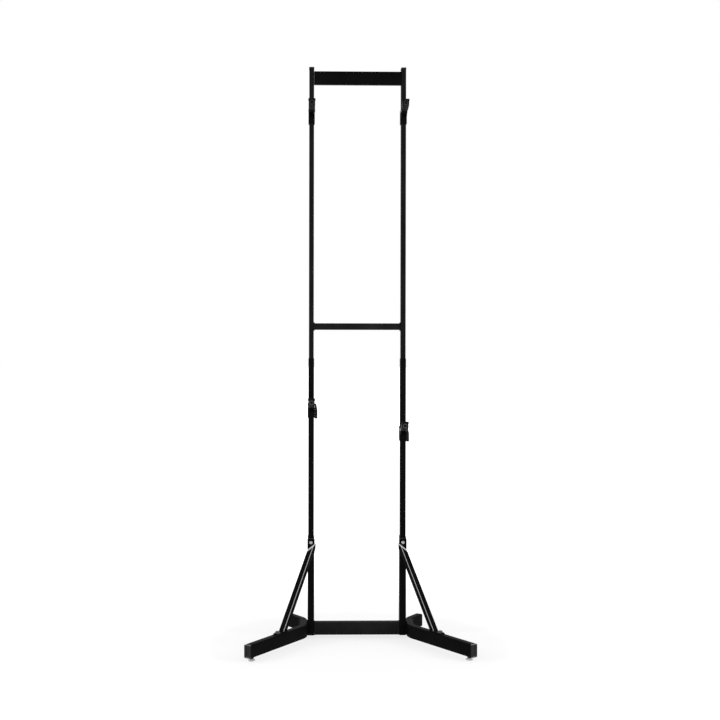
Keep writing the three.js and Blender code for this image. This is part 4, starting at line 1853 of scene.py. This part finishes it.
    def bar(self) -> bmesh.types.BMesh:
        """Flat bar from the pivot, with a round end for the cradle.

        Returns:
            The surface.
        """
        half = self.bar_height / 2
        outline = [
            *arc(Vector(), half, 90, 270, 16),
            Vector((self.bar_root, -half, 0)),
            Vector((self.bar_root, half, 0)),
        ]
        flat = plate(outline, self.bar_width, self.bar_edge)
        edge = self.gap * 2
        round_end = loft(turned([
            (self.spigot_radius, self.bar_root - self.tip),
            (self.spigot_radius, self.bar_length - edge),
            (self.spigot_radius - edge, self.bar_length),
        ]))
        round_end.transform(Matrix.Rotation(math.radians(90), 4, "Y"))
        shape = united(flat, round_end)
        shape.transform(self.tilted)
        return shape

    def cradle(self) -> bmesh.types.BMesh:
        """Rubber cradle: ridge, ribbed seat and broad lip.

        Returns:
            The surface.
        """
        shoulder = self.lip - self.tip
        ridge_corner = Vector((self.ridge_end, self.ridge, 0))
        lip_corner = Vector((self.lip_start, shoulder, 0))
        low_point = Vector(((self.ridge_end + self.lip_start) / 2, self.seat_low, 0))
        seat = bow(lip_corner, low_point, ridge_corner, 16)
        body = [
            Vector((self.pad_start, -self.pad_under, 0)),
            Vector((self.pad_end - self.tip, -self.pad_under, 0)),
            Vector((self.pad_end, self.tip - self.pad_under, 0)),
            Vector((self.pad_end, shoulder, 0)),
            lip_corner, *seat, ridge_corner,
            Vector((self.pad_start, self.ridge, 0)),
        ]
        lip = [
            Vector((self.lip_start, self.ridge / 2, 0)),
            Vector((self.pad_end, self.ridge / 2, 0)),
            Vector((self.pad_end, shoulder, 0)),
            Vector((self.pad_end - self.tip, self.lip, 0)),
            Vector((self.lip_start + self.tip, self.lip, 0)),
            lip_corner,
        ]
        pad = plate(body, self.pad_width, self.pad_edge)
        whole = united(pad, plate(lip, self.lip_width, self.lip_edge, 3))
        ribs = []
        for index in range(self.ribs):
            at = seat[round((index + 1) * (len(seat) - 1) / (self.ribs + 1))]
            reach = self.pad_width / 2 - 2 * self.rib
            rib = loft(turned([
                (self.rib / 2, -reach - self.rib / 2), (self.rib, -reach), (self.rib, reach),
                (self.rib / 2, reach + self.rib / 2),
            ], 12))
            rib.transform(Matrix.Translation(at))
            ribs.append(rib)
        whole = merged(whole, *ribs)
        whole.transform(self.rolled)
        return whole

    def end_plug(self) -> bmesh.types.BMesh:
        """Square plug in the cradle's outer end, with a raised rim.

        Returns:
            The surface.
        """
        edge = self.gap
        profile = [(-7 * edge, 0), (-edge, 0), (0, 2 * edge), (0, 10 * edge), (-2 * edge, 14 * edge)]
        rings = []
        for height, less in profile:
            wide, tall = self.plug_width - less, self.plug_height - less
            rings.append(raised(rounded_rectangle(wide, tall, 9 * edge - less / 4), height))
        place = Vector((self.pad_end + self.gap, -self.plug_drop, 0))
        at = self.rolled @ station(place, -Z_AXIS, Y_AXIS)
        return loft([placed(ring, at) for ring in rings])

    def handle_grip(self) -> bmesh.types.BMesh:
        """Clamp handle, tapered towards its upper end.

        Returns:
            The surface, its stud along Z.
        """
        top = self.handle / 2
        outline = [
            *arc(Vector((0, top - self.thin_radius, 0)), self.thin_radius, 0, 180, 14),
            *arc(Vector((0, self.thick_radius - top, 0)), self.thick_radius, 180, 360, 14),
        ]
        shape = loft([outline, raised(outline, self.thick_end)])
        slope = math.atan2(self.thick_end - self.thin_end, self.taper)
        outer_face = Vector((0, math.sin(slope), math.cos(slope)))
        trim(shape, Vector((0, top, self.thin_end)), outer_face)
        soften(shape, self.handle_edge, 3)
        return shape

    def screw_seat(self) -> bmesh.types.BMesh:
        """Round hollow that the cover over the stud's end lies in."""
        radius = self.stud_radius + self.gap
        return loft(turned([(radius, self.thick_end - 3 * self.gap), (radius, self.thick_end + self.gap)]))

    def screw_cover(self) -> bmesh.types.BMesh:
        """Round cover over the stud's end, sunk in the handle's outer face.

        Returns:
            The surface.
        """
        radius, edge = self.stud_radius, self.gap
        return loft(turned([
            (radius, self.thick_end - 2 * edge),
            (radius, self.thick_end - edge / 2),
            (radius - edge, self.thick_end),
            (radius / 2, self.thick_end),
            (radius / 2 - edge, self.thick_end - edge),
        ]))

    def knob(self) -> tuple[bmesh.types.BMesh, bmesh.types.BMesh]:
        """The clamp handle and the stud that it turns.

        Returns:
            The handle and the stud.
        """
        joint = self.joints["knob_turn"]
        axis = Vector(joint["axis"])
        at = facing(Vector(joint["pos_m"]) - axis * self.thin_end, axis)
        grip = carved(self.handle_grip(), self.screw_seat())
        grip = merged(grip, self.screw_cover())
        tip = -self.slide - self.wall
        stud = loft(turned([
            (self.stud_radius - self.gap, tip),
            (self.stud_radius, tip + self.gap),
            (self.stud_radius, self.gap),
        ]))
        grip.transform(at)
        stud.transform(at)
        return grip, stud

    def build(self) -> None:
        """Makes the arm's pieces and dresses them."""
        own = self.name
        carried = f"{own}_carriage_body"
        fit(f"{own}_sleeve", self.carriage(), COAT, carried, [f"{own}_carriage"])
        fit(f"{own}_hinge_bolt", self.pivot_bolt(), ZINC, carried, [f"{own}_pivot_bolt"])
        tilting = f"{own}_arm_body"
        fit(f"{own}_hinge_bush", self.bush(), NYLON, tilting, [f"{own}_pivot_bush"])
        fit(f"{own}_flat_bar", self.bar(), COAT, tilting, [f"{own}_arm_bar"])
        rolling = f"{own}_cradle_body"
        fit(f"{own}_rubber_cradle", self.cradle(), RUBBER, rolling, [f"{own}_cradle"])
        # The plug's finish is a lit or shaded copy: painted light on the lower tier, painted shade on the
        # upper tier.
        fit(f"{own}_cradle_plug", self.end_plug(), self.plug, rolling)
        grip, stud = self.knob()
        turning = f"{own}_knob_body"
        fit(f"{own}_clamp_handle", grip, END_PLASTIC, turning, [f"{own}_clamp_knob"])
        fit(f"{own}_knob_stud", stud, ZINC, turning)


# Studio


@dataclass(frozen=True)
class Lamp:
    """Soft rectangular lamp."""

    name: str
    place: tuple[float, float, float]
    aim: tuple[float, float, float]
    size: tuple[float, float]
    power: float

    def build(self) -> None:
        """Hangs the lamp."""
        data = bpy.data.lights.new(self.name, "AREA")
        data.shape = "RECTANGLE"
        data.size, data.size_y = self.size
        data.energy = self.power
        lamp = bpy.data.objects.new(self.name, data)
        lamp.location = self.place
        way = Vector(self.aim) - Vector(self.place)
        lamp.rotation_euler = way.to_track_quat("-Z", "Y").to_euler()
        bpy.context.scene.collection.objects.link(lamp)


@dataclass
class Studio:
    """White floor and surround, soft lamps and the camera of the photograph."""

    floor_size: float = 60.0
    floor_white: float = 0.72
    floor_shade: float = 0.30
    floor_bounce: float = 0.8
    clear_radius: float = 0.5
    blank_radius: float = 1.6
    sky_light: float = 0.62
    focal_pixels: float = 1331.0
    image_pixels: float = 720.0
    sensor: float = 36.0
    clip_end: float = 100.0
    camera_place: tuple[float, float, float] = (-0.2011, -4.6206, 1.1157)
    camera_yaw: float = 1.265
    camera_pitch: float = -0.377
    camera_roll: float = 0.096
    shift: tuple[float, float] = (0.0417, -0.0375)
    lamps: tuple[Lamp, ...] = (
        Lamp("left_lamp", place=(-3.2, -1.5, 1.2), aim=(0, 0, 0.8), size=(0.7, 2.2), power=60),
        Lamp("right_lamp", place=(3.2, -1.5, 1.2), aim=(0, 0, 0.8), size=(0.7, 2.2), power=60),
        Lamp("front_lamp", place=(-0.3, -5.2, 2.2), aim=(0, 0, 0.9), size=(1.4, 1.0), power=40),
    )

    def seen(self, graph: Graph) -> Field:
        """1 for what looks straight at the surround, or through a shine or glass.

        Args:
            graph: the material's or the world's nodes.

        Returns:
            The share.
        """
        kinds = ("Is Camera Ray", "Is Glossy Ray", "Is Transmission Ray")
        rays = [graph.add("ShaderNodeLightPath", output=kind) for kind in kinds]
        return (rays[0] + rays[1] + rays[2]).above(0, 1)

    def floor(self) -> None:
        """Pale floor that keeps the rack's shadow and runs out to white."""
        mesh = bpy.data.meshes.new("floor")
        reach = self.floor_size / 2
        corners = [(x * reach, y * reach, 0) for x, y in ((-1, -1), (1, -1), (1, 1), (-1, 1))]
        mesh.from_pydata(corners, [], [(0, 1, 2, 3)])
        floor = bpy.data.objects.new("floor", mesh)
        bpy.context.scene.collection.objects.link(floor)
        material = bpy.data.materials.new("floor_white")
        material.use_nodes = True
        graph = Graph(material.node_tree)
        mesh.materials.append(material)
        reach_out = graph.add("ShaderNodeVectorMath", {"operation": "LENGTH"}, {0: graph.place}, "Value")
        blank = reach_out.above(self.clear_radius, self.blank_radius)
        shade = (1 - blank) * self.floor_shade
        tone = graph.add("ShaderNodeCombineColor", None, {0: shade, 1: shade, 2: shade})
        paint = graph.add("ShaderNodeBsdfDiffuse", None, {"Color": tone})
        glow = graph.add("ShaderNodeEmission", None, {"Strength": self.floor_white + blank})
        shown = graph.add("ShaderNodeAddShader", None, {0: paint, 1: glow})
        bounce = (self.floor_bounce, self.floor_bounce, self.floor_bounce, 1)
        lit = graph.add("ShaderNodeBsdfDiffuse", None, {"Color": bounce})
        mix = graph.add("ShaderNodeMixShader", None, {0: self.seen(graph), 1: lit, 2: shown})
        graph.add("ShaderNodeOutputMaterial", None, {"Surface": mix})

    def surround(self) -> None:
        """White world, dimmer as a light than it looks."""
        world = bpy.data.worlds.new("surround")
        world.use_nodes = True
        bpy.context.scene.world = world
        graph = Graph(world.node_tree)
        seen = self.seen(graph)
        strength = self.sky_light + (1 - self.sky_light) * seen
        light = graph.add("ShaderNodeBackground", None, {"Color": (1, 1, 1, 1), "Strength": strength})
        graph.add("ShaderNodeOutputWorld", None, {"Surface": light})

    def camera(self) -> None:
        """Camera at the photograph's viewing angle."""
        data = bpy.data.cameras.new("camera")
        data.sensor_width = self.sensor
        data.lens = self.focal_pixels * self.sensor / self.image_pixels
        data.shift_x, data.shift_y = self.shift
        data.clip_end = self.clip_end
        camera = bpy.data.objects.new("camera", data)
        yaw, pitch, roll = (math.radians(v) for v in (self.camera_yaw, self.camera_pitch, self.camera_roll))
        way = Matrix.Rotation(-yaw, 4, "Z") @ Matrix.Rotation(math.pi / 2 + pitch, 4, "X")
        camera.matrix_world = Matrix.Translation(self.camera_place) @ way @ Matrix.Rotation(roll, 4, "Z")
        bpy.context.scene.collection.objects.link(camera)
        bpy.context.scene.camera = camera

    def build(self) -> None:
        """Sets the studio up."""
        bpy.context.scene.view_settings.view_transform = "Standard"
        self.camera()
        self.floor()
        self.surround()
        for lamp in self.lamps:
            lamp.build()


def main() -> None:
    """Builds the studio and the rack."""
    logging.basicConfig(level=logging.INFO, format="%(name)s: %(message)s")
    Studio().build()
    for side in Side:
        leg = BaseLeg(side)
        leg.build()
        Upright(side).build()
        Brace(side, leg).build()
    PlatedBar("base_bar", "base_crossbar", "right_base_post", BASE_BAR_TUBE, BASE_BAR_PLATE).build()
    PlatedBar(
        "middle_bar", "middle_crossbar", "right_upper_upright", MIDDLE_BAR_TUBE, MIDDLE_BAR_PLATE
    ).build()
    TopPlate().build()
    # The pad plugs' two tones are painted shade on the upper tier and painted light on the lower tier.
    tiers = (("upper", UPPER_TUBE, SHADED_PAD_PLASTIC), ("lower", LOWER_TUBE, LIT_PAD_PLASTIC))
    for tier, tube, plug in tiers:
        for side in Side:
            Arm(f"{tier}_{side.word}", tube, plug).build()


if __name__ == "__main__":
    main()
